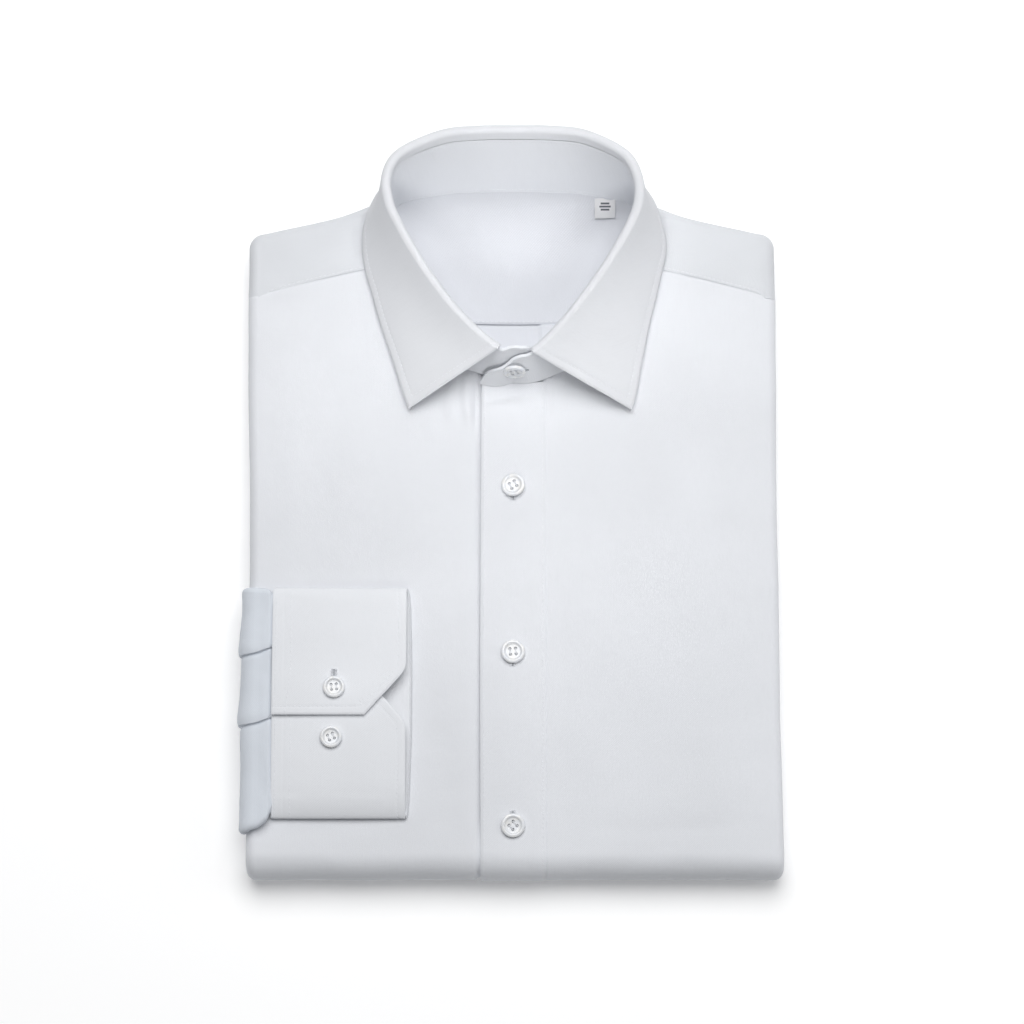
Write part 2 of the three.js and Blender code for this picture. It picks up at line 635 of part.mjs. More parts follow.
// Collar leaf: up from the band, over the roll and down to its edge, with both points.
function collarLeaf() {
  const grid = LEAF_TURNS.map((turn) => {
    const section = collarSection(turn);
    const { middle, angle, at } = neckSide(section);
    const { out, edge } = section;
    const along = point(out.y, -out.x, 0);
    const reach = edge.clone().sub(middle);
    const endAngle = touchAngle(reach.dot(out), reach.z, 1);
    const startAngle = angle < 0 ? angle + 2 * Math.PI : angle;
    const onRoll = (a) =>
      middle
        .clone()
        .addScaledVector(out, FOLD_RADIUS * Math.cos(a))
        .setZ(middle.z + FOLD_RADIUS * Math.sin(a));
    const roll = steps(5).map((f) => onRoll(lerp(startAngle, endAngle, f)));
    const leave = roll[roll.length - 1];
    const run = edge.clone().sub(leave);
    const belly = run.clone().cross(along).normalize();
    const leaf = [0.3, 0.65, 1].map((f) =>
      leave
        .clone()
        .addScaledVector(run, f)
        .addScaledVector(belly, 1.6 * Math.sin(Math.PI * f)),
    );
    const lineLength = at(0).distanceTo(at(1));
    return [at(bandShare(turn) + LEAF_GAP / lineLength), ...roll, ...leaf];
  });
  return wall(grid, COLLAR_WALL, 1);
}

// Cuff: a flattened tube whose ends overlap on top.
function cuff() {
  const grid = CUFF.map(({ y, z, free }) =>
    [0, 0.35, 0.7, 1].map((f) => point(lerp(CUFF_SEAM_X, free, f), y, z)),
  );
  return wall(grid, COLLAR_WALL, -1);
}

// Sleeve end: a flattened tube with two pleats raised on its outer side.
function sleeve() {
  const ringAt = ({ x, turn, top, end, thick }, inset, pleated) => {
    const angle = THREE.MathUtils.degToRad(turn);
    const centre = { x: -127, z: PACK + PACK / 2 };
    const put = (y, out) => {
      if (turn === 0) return point(x, y, 2 * PACK + GAP + out);
      const r = PACK / 2 + GAP + out;
      const rx = r - 0.7 * Math.abs(Math.sin(angle));
      return point(centre.x - rx * Math.sin(angle), y, centre.z + r * Math.cos(angle));
    };
    const round = thick / 2 - inset;
    const [yTop, yEnd] = [top - thick / 2, end + thick / 2];
    const slant = (PLEAT_SLANT * (x - CUFF_SEAM_X)) / -8.5 + (turn > 0 ? 0.4 : 0);
    const strips = [yTop, ...PLEATS.map((y) => y - slant), yEnd];
    const ring = [];
    for (let i = 0; i < strips.length - 1; i++) {
      const lastStrip = i === strips.length - 2;
      for (const f of [0, 0.5, 1]) {
        if (f === 0 && i > 0) continue;
        const raise = pleated && !lastStrip ? PLEAT_RAISE * f : 0;
        ring.push(put(lerp(strips[i], strips[i + 1], f), thick - inset + raise));
      }
      if (!lastStrip) ring.push(put(strips[i + 1] - PLEAT_DROP, thick - inset));
    }
    for (const a of [45, 90, 135]) {
      const t = THREE.MathUtils.degToRad(a);
      ring.push(put(yEnd - round * Math.sin(t), thick / 2 + round * Math.cos(t)));
    }
    for (const f of [0, 0.5, 1]) ring.push(put(lerp(yEnd, yTop, f), inset));
    for (const a of [135, 90, 45]) {
      const t = THREE.MathUtils.degToRad(a);
      ring.push(put(yTop + round * Math.sin(t), thick / 2 + round * Math.cos(t)));
    }
    return ring;
  };
  const outer = SLEEVE.map((row) => ringAt(row, 0, true));
  const inner = SLEEVE.map((row) => ringAt(row, SLEEVE_WALL, false));
  return wallBetween(outer, inner, true);
}

// Size tab on the inner yoke, hanging from the neck seam.
function sizeTab() {
  const { x, top, width, length, wall: thickness } = TAG;
  const grid = [-0.5, 0, 0.5].map((across) =>
    steps(2).map((f) => {
      const [px, py] = [x + across * width, top - length * f];
      return point(px, py, hollowTop(px, py) + GAP + thickness * 2);
    }),
  );
  return wall(grid, thickness, -1);
}

// A button with a raised rim, standing on z = 0.
function button({ radius, height }) {
  const profile = [
    [0, 0],
    [radius * 0.85, 0],
    [radius, height * 0.3],
    [radius, height * 0.7],
    [radius * 0.9, height],
    [radius * 0.72, height],
    [radius * 0.6, height * 0.7],
    [0, height * 0.7],
  ].map(([r, z]) => new THREE.Vector2(r, z));
  return new THREE.LatheGeometry(profile, 16).rotateX(Math.PI / 2);
}

// --- the shirt
const shirt = new THREE.Group();
const cloth = (color) => new THREE.MeshStandardMaterial({ color, roughness: 0.85, metalness: 0 });
const shell = () => new THREE.MeshStandardMaterial({ color: 0xf2f1ec, roughness: 0.3, metalness: 0 });

function add(name, geometry, material) {
  const mesh = new THREE.Mesh(geometry, material);
  mesh.name = name;
  shirt.add(mesh);
  return mesh;
}

const rightFrontXs = [
  PLACKET.underlap, -2, -16, -18.6, -30, -41, -50, -57, -61.5, -63.2, -74, -88, -108, -122,
];
const leftFrontXs = [PLACKET.right + GAP, 30, 42, 51, 58, 63, 65.3, 76, 90, 108, 122];

add("hidden_layers", hiddenLayers(), cloth(0xd9dbe0));
add("front_right", front(-1, rightFrontXs), cloth(0xe4e6ec));
add("front_left", front(1, leftFrontXs), cloth(0xe4e6ec));
add("front_placket", placket(), cloth(0xe6e8ee));
add("yoke", yoke(), cloth(0xe4e6ec));
add("inner_yoke", innerYoke(), cloth(0xdfe1e7));
add("back", backPanel(), cloth(0xd9dbe1));
add("collar_band", collarBand(), cloth(0xe6e8ee));
add("collar_leaf", collarLeaf(), cloth(0xe8eaf0));
add("sleeve_right", sleeve(), cloth(0xe2e4ea));
add("cuff_right", cuff(), cloth(0xe6e8ee));
add("size_tab", sizeTab(), cloth(0xf4f4f4));

const placketTop = 2 * PACK - PLACKET_DIP.top + GAP + PLACKET.wall;
FRONT_BUTTON_YS.forEach((y, i) => {
  const mesh = add(`front_button_${i + 1}`, button(FRONT_BUTTON), shell());
  mesh.position.set(0.5, y, placketTop + GAP);
});
CUFF_BUTTONS.forEach(({ x, y, z }, i) => {
  const mesh = add(`cuff_button_${i + 1}`, button(CUFF_BUTTON), shell());
  mesh.position.set(x, y, z + GAP);
});

// The collar button stands square to the outer face of the band's upper end.
const bandFront = collarSection(FRONT_MIDDLE);
const bandLine = neckSide(bandFront);
const bandSlope = bandLine.touch.clone().sub(bandFront.seam).normalize();
const bandOut = bandSlope.clone().cross(point(1, 0, 0)).normalize();
if (bandOut.y > 0) bandOut.negate();
const collarButton = add("collar_button", button(COLLAR_BUTTON), shell());
collarButton.position.copy(bandLine.at(0.45)).addScaledVector(bandOut, COLLAR_WALL + 2 * GAP);
collarButton.quaternion.setFromUnitVectors(point(0, 0, 1), bandOut);

// The origin is under the middle of the shirt, on the surface it lies on.
const bounds = new THREE.Box3().setFromObject(shirt);
const middle = bounds.getCenter(point(0, 0, 0));
shirt.position.set(-middle.x, -middle.y, -bounds.min.z);

export default shirt;
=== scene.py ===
"""Folded dress shirt: its cloth, seams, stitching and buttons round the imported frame."""

import math
from contextlib import contextmanager

import bpy
import numpy as np
from bpy.props import FloatProperty, FloatVectorProperty, PointerProperty
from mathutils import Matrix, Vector


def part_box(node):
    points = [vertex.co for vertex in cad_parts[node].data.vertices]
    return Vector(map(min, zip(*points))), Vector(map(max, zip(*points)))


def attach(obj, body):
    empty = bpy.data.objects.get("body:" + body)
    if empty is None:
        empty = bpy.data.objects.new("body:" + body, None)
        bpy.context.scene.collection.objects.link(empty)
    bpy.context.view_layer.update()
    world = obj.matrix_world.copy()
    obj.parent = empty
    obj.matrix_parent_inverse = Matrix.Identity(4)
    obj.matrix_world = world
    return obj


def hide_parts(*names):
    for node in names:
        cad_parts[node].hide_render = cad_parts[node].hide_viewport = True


bl_info = {
    "name": "Folded dress shirt",
    "version": (1, 0, 0),
    "blender": (4, 5, 0),
    "location": "3D View > Sidebar > Shirt",
    "description": "Cloth, seams and buttons of a folded dress shirt, and a plain studio",
    "category": "Object",
}

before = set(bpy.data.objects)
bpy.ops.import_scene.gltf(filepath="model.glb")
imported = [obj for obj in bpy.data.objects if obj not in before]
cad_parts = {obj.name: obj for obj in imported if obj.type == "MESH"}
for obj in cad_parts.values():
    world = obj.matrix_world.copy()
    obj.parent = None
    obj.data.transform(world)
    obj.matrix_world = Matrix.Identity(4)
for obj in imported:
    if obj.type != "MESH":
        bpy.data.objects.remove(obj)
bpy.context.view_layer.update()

# --- sizes, in millimetres unless said otherwise
MM = 0.001
BODY = "root"
PACK = 12.0  # thickness of one pack, and the outer radius of the bend
FOLD_Y = -171.0
TAIL_Y = 133.0
TAIL_CURVE = 24.0
RIM = 5.0  # radius of the long edges, seen from above
RIM_TURN = 0.9  # of half a turn, after which an edge goes into the groove
CORNER = 8.0
GAP = 0.3  # between pieces that lie on each other
COLLAR_X = 1.2
FOLD_RADIUS = 2.6  # of the collar's roll
HOLLOW = 14.0  # depth of the dip inside the neck
NECK_MIDDLE = (COLLAR_X, 118.0)
NECK_OUT = 0.5
INNER_SEAM_Y = 99.0
PLACKET_LEFT = -15.5
PLACKET_RIGHT = 16.9
PLACKET_TOP = 66.0
PLACKET_WALL = 1.4
UNDERLAP = 14.6
UNDER_SEAM = 2.0
TAB_RAISE = 1.4
TAB_TRIM = (2.4, 0.6, 1.5)  # moved in on the left, out on the right and up below
SHOULDER_Y = 142.6
SHOULDER_SLOPE = 0.236
SHOULDER_THINNER = 3
NECK_RISE = 9
SEAM_START_X = 74
SEAM_START_Y = 124.4
SEAM_DROP = 15.4
SEAM_BOW = 3
BODY_WALL = 0.9
COLLAR_WALL = 1.5
CUFF_WALL = 1.5
LOWEST_BUTTON = (0.5, -157.6)

# Distance of the long edges from the middle: y, left, right.
BODY_EDGES = np.array(
    [
        (-172, 131.2, 134.1),
        (-100, 131.4, 133.1),
        (-30, 130.9, 132.8),
        (20, 131.6, 132.7),
        (60, 132.8, 133.0),
        (100, 133.3, 133.2),
        (180, 133.3, 132.8),
    ]
)

# Round the collar from the front middle to the back middle: the neck seam's x and y and its
# rise over the pack, the roll line's x, y and z, and how much less its x is on the right.
COLLAR = np.array(
    [
        (0, 68.8, 0.5, 0, 77, 47.5, 0),
        (11, 69.6, 0.5, 9.5, 78.8, 48, 0),
        (33.5, 78, 0.5, 28.4, 96, 50, 0),
        (49, 91.5, 0.6, 43.1, 115.4, 51, 0),
        (58, 106.5, 0.9, 51.8, 129.3, 52, 0),
        (63, 121.5, 1.3, 58.2, 141, 53, 0),
        (64.7, 136.5, 1.6, 62.9, 152.3, 54, 0.7),
        (63.5, 150, 1.8, 64.0, 165, 55.5, 2.4),
        (57, 159.3, 1.9, 57.2, 176.5, 57, 2.6),
        (36, 164, 1.9, 36.5, 185.8, 58, 0.9),
        (18, 165.2, 1.9, 18, 187.8, 58.7, 0.2),
        (0, 165.5, 1.9, 0, 188.0, 59, 0),
    ]
)
# The leaf's outer edge at the same places: left x and y, right x and y, z.
LEAF_EDGE = np.array(
    [
        (-46, 42, 52, 42, 29),
        (-52.5, 53.2, 60.6, 52.7, 28),
        (-60, 76, 65.6, 76, 27.2),
        (-66.5, 95, 69.8, 96, 26.8),
        (-70.8, 110.5, 73.2, 110, 26.6),
        (-74.6, 124, 76.2, 123, 26.4),
        (-76, 137, 78.3, 134, 26.2),
        (-74.8, 149, 76.5, 147, 25.8),
        (-68, 165, 70, 164, 25),
        (-48, 187, 49.5, 186, 23.5),
        (-22, 194.5, 24, 194.3, 22.5),
        (0, 196, 2.4, 196, 22),
    ]
)
FRONT_MIDDLE = len(COLLAR) - 1
RUN_PAST = 2  # turns by which the curves go on past the front middle
LEAF_END = 10.1  # turn at which the leaf ends
BAND_END = 1.2  # turns by which the band goes past the front middle
SHELL_SEAT = 1.25  # from the middle of a button down to where it is sewn on
COLLAR_BUTTON_TILT = 0.24
BAND_LIFT = 1.9  # of the band's left end over the right one
UNDER_BACK = 1.6  # of the right end behind the left one
END_DROP = 2.6

# The cuff's outer face from the end on top, round it and back to the end below: y, z and the
# x of its free edge.
CUFF_SEAM_X = -118.5
CUFF = np.array(
    [
        (-103.6, 33.3, -72.9),
        (-95, 33.2, -64.9),
        (-82, 32.9, -53.2),
        (-79, 32.8, -52.3),
        (-62, 32.2, -52.3),
        (-48, 31, -52.3),
        (-40.4, 29.6, -52.3),
        (-38.1, 27.9, -52.1),
        (-38.5, 26, -51.6),
        (-42, 24.5, -50.9),
        (-50, 24.3, -50),
        (-80, 24.3, -49.4),
        (-115, 24.3, -49.6),
        (-145, 24.3, -50.4),
        (-151.5, 24.5, -51),
        (-155.4, 25.2, -51.8),
        (-156.3, 26.0, -52.2),
        (-154.4, 26.8, -52.5),
        (-151.3, 28.2, -52.5),
        (-146.5, 29.75, -52.5),
        (-139, 30.6, -52.5),
        (-127, 30.9, -52.5),
        (-112, 31, -52.5),
        (-107, 31, -52.7),
        (-95, 30.9, -63),
        (-84, 30.7, -72.5),
    ]
)
# The sleeve from inside the cuff, over the long edge and into the groove: x on the flat, turn
# round the edge in degrees, y of its two sides, thickness, lift off the front.
SLEEVE = np.array(
    [
        (-112, 0, -47, -145, 2.4, 2.2),
        (-117.5, 0, -44, -148, 3.2, 1.7),
        (-120, 0, -40.8, -155, 5.4, 1.2),
        (-122, 0, -39.8, -157, 5.8, 0.5),
        (-125.5, 0, -39.4, -159.5, 5.5, 0.1),
        (-127, 22, -39.2, -160.8, 4.9, 0),
        (-127, 48, -39, -161.2, 4.1, 0),
        (-127, 76, -39, -161.2, 3.4, 0),
        (-127, 104, -39.2, -161, 3, 0),
        (-127, 130, -39.6, -160.6, 2.7, 0),
        (-127, 146, -40, -160.2, 2.6, 0),
    ]
)
SLEEVE_EDGE_X = -127.0
PLEATS = (-69.5, -104.5)
PLEAT_SLANT = 3.0
PLEAT_RAISE = 1.7
PLEAT_DROP = 0.5

# Soft folds: x and y of both ends, half width, height.
RIGHT_FRONT_FOLDS = (
    (-23, 70, -21, 46, 2.2, 1.3),
    (-28.5, 68, -31, 47, 2.6, 1.0),
    (-18.5, 66, -17.8, 40, 1.6, -0.9),
    (-35, 62, -41, 40, 4.0, 0.5),
    (-17.5, 30, -17.8, -90, 2.4, -0.35),
    (-62, 100, -74, 30, 9.0, 0.6),
    (-88, 84, -96, -10, 11.0, -0.5),
    (-108, 70, -111, -30, 8.0, 0.45),
    (-45, 20, -40, -60, 12.0, 0.5),
    (-75, -5, -66, -36, 7.0, -0.4),
    (-40, -60, -36, -150, 9.0, -0.45),
    (-22, -100, -24, -165, 5.0, 0.3),
    (-118, 100, -90, 118, 6.0, -0.35),
    (-60, -158, -110, -163, 4.5, -0.35),
)
LEFT_FRONT_FOLDS = (
    (26, 60, 22, 20, 4.5, -0.4),
    (60, 90, 74, 20, 10.0, 0.55),
    (92, 92, 100, -20, 12.0, -0.5),
    (116, 80, 112, -60, 7.0, 0.4),
    (40, 30, 46, -70, 12.0, 0.45),
    (70, -20, 62, -130, 13.0, -0.45),
    (96, -60, 104, -150, 10.0, 0.4),
    (24, -40, 26, -150, 6.0, -0.3),
    (118, 104, 88, 118, 6.0, -0.35),
    (40, -160, 110, -157, 4.5, -0.35),
)
PLACKET_FOLDS = (
    (-13.5, 56.6, 10, 59.6, 1.6, 0.75),
    (-12, 52.6, 6, 54.6, 2.4, -0.5),
    (2, 44, 1, 24, 5.0, 0.25),
    (-3, 2, 2, -60, 6.0, -0.25),
    (3, -84, -2, -140, 6.0, 0.22),
)
YOKE_FOLDS = (
    (-78, 152, -80, 128, 4.0, -0.7),
    (-92, 149, -120, 136, 6.0, 0.4),
    (-84, 128, -110, 120, 5.0, 0.35),
    (80, 150, 82, 128, 4.0, -0.7),
    (94, 148, 122, 134, 6.0, 0.4),
    (86, 127, 112, 118, 5.0, 0.35),
)
LEAF_FOLDS = (
    (-40, 96, -60, 118, 12.0, -0.35),
    (-46, 70, -62, 92, 9.0, 0.3),
    (46, 92, 64, 112, 12.0, 0.35),
    (42, 70, 60, 86, 8.0, -0.3),
)


def length_property(name, description, default, low, high):
    return FloatProperty(
        name=name, description=description, default=default, min=low, max=high, unit="LENGTH"
    )


class ShirtSizes(bpy.types.PropertyGroup):
    """Sizes that a user may change before the pieces are made."""

    fold_height: FloatProperty(
        name="Fold height",
        description="How strongly the hand-placed folds stand out, 1 being as made",
        default=1.0,
        min=0.0,
        max=2.0,
        subtype="FACTOR",
    )
    stitch_pitch: length_property(
        "Stitch pitch", "Distance from one stitch to the next", 0.0023, 0.001, 0.01
    )
    stitch_length: length_property(
        "Stitch length", "Length of the thread that shows in one stitch", 0.0017, 0.0005, 0.01
    )
    thread: length_property(
        "Thread thickness", "Diameter of the sewing thread", 0.0003, 0.0001, 0.001
    )
    weave: length_property("Weave pitch", "Distance of the yarns", 0.00042, 0.0001, 0.002)
    edge_stitch: length_property(
        "Edge stitching", "From the cuff's and collar's edge in", 0.004, 0.001, 0.01
    )


def colour_property(name, description, default):
    return FloatVectorProperty(
        name=name, description=description, default=default, size=3, min=0, max=1, subtype="COLOR"
    )


class ShirtColours(bpy.types.PropertyGroup):
    """Colours of the cloth, its painted light and shade, the thread, the buttons and the floor."""

    shirting: colour_property("Shirting", "Cloth of the body", (0.775, 0.790, 0.824))
    collar: colour_property("Collar cloth", "Cloth of the band", (0.790, 0.806, 0.838))
    # Painted shade: the leaf is the collar's cotton made darker, for the shade on its sloping
    # faces.
    leaf: colour_property("Leaf", "Cloth of the collar's leaf", (0.745, 0.757, 0.785))
    # Painted shade: the body's cotton made darker for what shows inside the neck and between the
    # folded layers.
    inner: colour_property("Inner cloth", "Cloth seen inside the neck", (0.690, 0.703, 0.740))
    # Painted light: the cuff is the cotton made lighter than the body's, so that it looks as lit as
    # the chest.
    cuff: colour_property("Cuff", "Cloth of the cuff", (0.804, 0.819, 0.850))
    # Painted shade: the yoke is the body's cotton made darker, for the shade on the sloping
    # shoulders.
    yoke: colour_property("Yoke", "Cloth of the yoke, cut across", (0.712, 0.729, 0.759))
    # Painted shade: the sleeve is the body's cotton made darker and bluer, for the cool shade on
    # its pleated strips.
    sleeve: colour_property("Sleeve", "The sleeve's single layer", (0.715, 0.755, 0.812))
    thread: colour_property("Thread", "Sewing thread", (0.84, 0.855, 0.89))
    # Painted shadow: a dark strip set in each buttonhole's slit, for the shadow in its opening.
    slit: colour_property("Slit", "The dark inside of a buttonhole", (0.36, 0.38, 0.41))
    button: colour_property("Button", "Pearly button shell", (0.79, 0.79, 0.785))
    tab: colour_property("Size tab", "Woven satin tab", (0.80, 0.80, 0.81))
    print: colour_property("Tab bars", "Plain woven bars on the tab", (0.05, 0.055, 0.07))
    floor: colour_property("Floor", "Plain pale floor", (0.98, 0.98, 0.98))


# --- materials
class Wire:
    """One output of a finish's nodes, or a sum, difference or product of such outputs."""

    def __init__(self, finish, socket):
        self.finish = finish
        self.socket = socket

    def maths(self, operation, *values):
        return self.finish.node("ShaderNodeMath", {"operation": operation}, *values)

    def __add__(self, other):
        return self.maths("ADD", self, other)

    def __sub__(self, other):
        return self.maths("SUBTRACT", self, other)

    def __rsub__(self, other):
        return self.maths("SUBTRACT", other, self)

    def __mul__(self, other):
        return self.maths("MULTIPLY", self, other)

    __radd__ = __add__
    __rmul__ = __mul__

    def sine(self):
        return self.maths("SINE", self)

    def size(self):
        return self.maths("ABSOLUTE", self)

    def between(self, low, high):
        settings = {"interpolation_type": "SMOOTHSTEP"}
        return self.finish.node("ShaderNodeMapRange", settings, self, low, high, 0.0, 1.0)


class Finish:
    """A node material in the making."""

    def __init__(self, name, **constants):
        self.material = bpy.data.materials.new(name)
        self.material.use_nodes = True
        self.tree = self.material.node_tree
        self.tree.nodes.clear()
        self.shader = self.tree.nodes.new("ShaderNodeBsdfPrincipled")
        output = self.tree.nodes.new("ShaderNodeOutputMaterial")
        self.tree.links.new(self.shader.outputs[0], output.inputs[0])
        for socket, value in constants.items():
            self.shader.inputs[socket.replace("_", " ")].default_value = value

    def put(self, socket, value):
        if isinstance(value, Wire):
            self.tree.links.new(value.socket, socket)
        elif isinstance(value, (tuple, list)) and socket.type == "RGBA" and len(value) == 3:
            socket.default_value = (*value, 1.0)
        else:
            socket.default_value = value

    def node(self, kind, settings, *values, out=0, **named):
        made = self.tree.nodes.new(kind)
        for key, value in settings.items():
            setattr(made, key, value)
        for socket, value in zip(made.inputs, values):
            self.put(socket, value)
        for key, value in named.items():
            self.put(made.inputs[key], value)
        return Wire(self, made.outputs[out])

    def mix(self, share, first, second):
        made = self.tree.nodes.new("ShaderNodeMix")
        made.data_type = "RGBA"
        for socket, value in zip([made.inputs[0], *made.inputs[6:8]], (share, first, second)):
            self.put(socket, value)
        return Wire(self, made.outputs[2])

    def noise(self, place, scale, detail=2.0, roughness=0.5):
        return self.node(
            "ShaderNodeTexNoise", {}, Vector=place, Scale=scale, Detail=detail, Roughness=roughness
        )

    def parts(self, place):
        made = self.tree.nodes.new("ShaderNodeSeparateXYZ")
        self.put(made.inputs[0], place)
        return [Wire(self, socket) for socket in made.outputs]

    def bump(self, height, distance, strength, normal=None):
        made = self.tree.nodes.new("ShaderNodeBump")
        self.put(made.inputs["Strength"], strength)
        self.put(made.inputs["Distance"], distance)
        self.put(made.inputs["Height"], height)
        if normal is not None:
            self.put(made.inputs["Normal"], normal)
        return Wire(self, made.outputs[0])

    def shade(self, socket, value):
        self.put(self.shader.inputs[socket], value)


def shaded(colour, by):
    """A colour made lighter or darker, as a whole or in each of its channels."""
    shares = by if isinstance(by, tuple) else (by,) * 3
    return tuple(min(c * share, 1.0) for c, share in zip(colour, shares))


# Cotton: how much of the weave is twill lines, and noise scales for each metre of cloth.
TWILL = 0.6
SLUBS, BROAD_TONES, SMALL_CREASES = 900.0, 9.0, 60.0
SLUB_LENGTH = 0.09  # how much the slubs are drawn out along the cloth


def cloth_finish(name, colour, weave, soft=1.0):
    """Matt woven cotton: yarns and twill lines along the cloth, slubs and small creases."""
    finish = Finish(name, Sheen_Weight=0.12, Sheen_Roughness=0.45, IOR=1.45)
    finish.shader.inputs["Specular IOR Level"].default_value = 0.25
    cloth = finish.node("ShaderNodeUVMap", {"uv_map": "cloth"})
    across, along, _ = finish.parts(cloth)
    yarn = 2 * math.pi / weave
    plain = (across * yarn).sine() * (along * yarn).sine()
    ribs = ((across + along * 0.72) * (yarn / 2)).sine()
    weave_height = plain * (1 - TWILL) + ribs * TWILL
    place = finish.node("ShaderNodeTexCoord", {}, out=3)
    streaks = finish.node(
        "ShaderNodeMapping", {"vector_type": "POINT"}, Vector=cloth, Scale=(1.0, SLUB_LENGTH, 1.0)
    )
    slubs = finish.noise(streaks, SLUBS, 3.0, 0.6)
    broad = finish.noise(place, BROAD_TONES, 2.0)
    fine = finish.noise(place, SMALL_CREASES, 3.0, 0.55)
    darker = shaded(colour, 0.955)
    lighter = shaded(colour, 1.018)
    base = finish.mix(broad.between(0.35, 0.65), darker, lighter)
    base = finish.mix(slubs.between(0.45, 0.75) * 0.30, base, darker)
    base = finish.mix(weave_height.between(0.15, -0.9) * 0.28, base, shaded(colour, 0.90))
    finish.shade("Base Color", base)
    finish.shade("Roughness", 0.80 + 0.12 * fine)
    creases = finish.bump(fine, 0.0006 * soft, 0.35)
    slub_bump = finish.bump(slubs, 0.00012, 0.35, creases)
    finish.shade("Normal", finish.bump(weave_height, 0.00009, 0.38, slub_bump))
    return finish.material


def thread_finish(name, colour):
    """Twisted sewing thread with a little gloss."""
    finish = Finish(name, Sheen_Weight=0.1)
    place = finish.node("ShaderNodeTexCoord", {}, out=3)
    twist = finish.noise(place, 2600.0, 2.0)
    base = finish.mix(twist.between(0.35, 0.65), shaded(colour, 0.86), colour)
    finish.shade("Base Color", base)
    finish.shade("Roughness", 0.5 + 0.2 * twist)
    finish.shade("Normal", finish.bump(twist, 0.00005, 0.4))
    return finish.material


def button_finish(name, colour):
    """Pearly polyester: slow swirls under a glossy coat."""
    finish = Finish(name, Coat_Weight=0.35, Coat_Roughness=0.12, IOR=1.53)
    place = finish.node("ShaderNodeTexCoord", {}, out=3)
    swirl = finish.noise(place, 260.0, 3.0, 0.6)
    bands = finish.noise(place, 90.0, 1.0)
    cool = shaded(colour, (0.93, 0.96, 1.02))
    warm = shaded(colour, (1.0, 0.975, 0.94))
    base = finish.mix(swirl.between(0.35, 0.65), cool, colour)
    finish.shade("Base Color", finish.mix(bands.between(0.45, 0.7) * 0.6, base, warm))
    finish.shade("Roughness", 0.20 + 0.14 * swirl)
    finish.shade("Normal", finish.bump(swirl, 0.0001, 0.2))
    return finish.material


# Metres down the tab to each bar and half its length, from the tab's corner and middle.
TAB_BARS = ((0.0026, 0.0022), (0.0042, 0.0029), (0.0058, 0.0022))
TAB_MIDDLE = 0.0053
SATIN_RIB = 0.00035


def tab_finish(name, colour, bars):
    """White woven satin with three plain bars in place of any print."""
    finish = Finish(name, Sheen_Weight=0.2)
    cloth = finish.node("ShaderNodeUVMap", {"uv_map": "cloth"})
    across, along, _ = finish.parts(cloth)
    ribs = (along * (2 * math.pi / SATIN_RIB)).sine()
    inside = (across - TAB_MIDDLE).size()
    bar = 0.0
    for middle, reach in TAB_BARS:
        high = 1 - (along - middle).size().between(0.00042, 0.00054)
        wide = 1 - inside.between(reach - 0.0001, reach + 0.0001)
        bar = high * wide if isinstance(bar, float) else bar + high * wide
    base = finish.mix(ribs.between(-0.6, 0.8), shaded(colour, 0.93), colour)
    finish.shade("Base Color", finish.mix(bar * 0.9, base, bars))
    finish.shade("Roughness", 0.42 + 0.08 * ribs)
    finish.shade("Normal", finish.bump(ribs + bar * 0.8, 0.00005, 0.5))
    return finish.material


def floor_finish(name, colour):
    """Smooth matt table top, lit a little from below as on a light table."""
    finish = Finish(name, Emission_Strength=0.13)
    finish.shader.inputs["Emission Color"].default_value = (1, 1, 1, 1)
    finish.shader.inputs["Specular IOR Level"].default_value = 0.1
    place = finish.node("ShaderNodeTexCoord", {}, out=3)
    grain = finish.noise(place, 700.0, 2.0)
    finish.shade("Base Color", finish.mix(grain, colour, shaded(colour, 1.01)))
    finish.shade("Roughness", 0.85 + 0.1 * grain)
    return finish.material


MADE = {}
# The body's cotton and its copies: the cuff's made lighter for painted light; the yoke's, sleeve's,
# inner and leaf's darker for painted shade.
CLOTHS = ("shirting", "cuff", "yoke", "sleeve", "inner")
FUSED_CLOTHS = ("collar", "leaf")  # stiffened, so they crease less
FUSED_SOFTNESS = 0.6


def make_finish(name):
    """The named material in the user's colours."""
    colours = bpy.context.scene.shirt_colours
    weave = bpy.context.scene.shirt_sizes.weave
    part = name.removesuffix("_cloth")
    if part in CLOTHS:
        return cloth_finish(name, tuple(getattr(colours, part)), weave)
    if part in FUSED_CLOTHS:
        return cloth_finish(name, tuple(getattr(colours, part)), weave, soft=FUSED_SOFTNESS)
    if name == "button_shell":
        return button_finish(name, tuple(colours.button))
    if name == "tab_satin":
        return tab_finish(name, tuple(colours.tab), tuple(colours.print))
    if name == "floor":
        return floor_finish(name, tuple(colours.floor))
    # The thread, and the dark strip of painted shadow in each buttonhole, both take the thread
    # finish.
    return thread_finish(name, tuple(getattr(colours, name)))


def finish_of(name):
    """The named material, made once."""
    if name not in MADE:
        MADE[name] = make_finish(name)
    return MADE[name]


# --- small helpers
def smooth(x, start, end):
    t = np.clip((x - start) / (end - start), 0, 1)
    return t * t * (3 - 2 * t)


def bell(x, middle, width):
    return np.exp(-(((x - middle) / width) ** 2))


def unit(v):
    return v / np.maximum(np.linalg.norm(v, axis=-1, keepdims=True), 1e-12)


def shift_from_frame():
    """From these design coordinates to the frame's, both in millimetres."""
    low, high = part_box("front_button_3")
    x, y = ((low + high) / 2).xy / MM
    return np.array([x - LOWEST_BUTTON[0], y - LOWEST_BUTTON[1], 0.0])


SHIFT = shift_from_frame()


def graded(length, coarse, fine, margin, both=True):
    """Shares of a length, close together near its ends, or near its far end alone."""
    far = [0.0]
    while far[-1] < length / (2 if both else 1):
        far.append(far[-1] + (fine if far[-1] < margin else coarse))
    end = np.array(far[:-1])
    if not both:
        return np.concatenate([[0.0], 1 - end[::-1] / length])
    return np.concatenate([end / length, [0.5], 1 - end[::-1] / length])


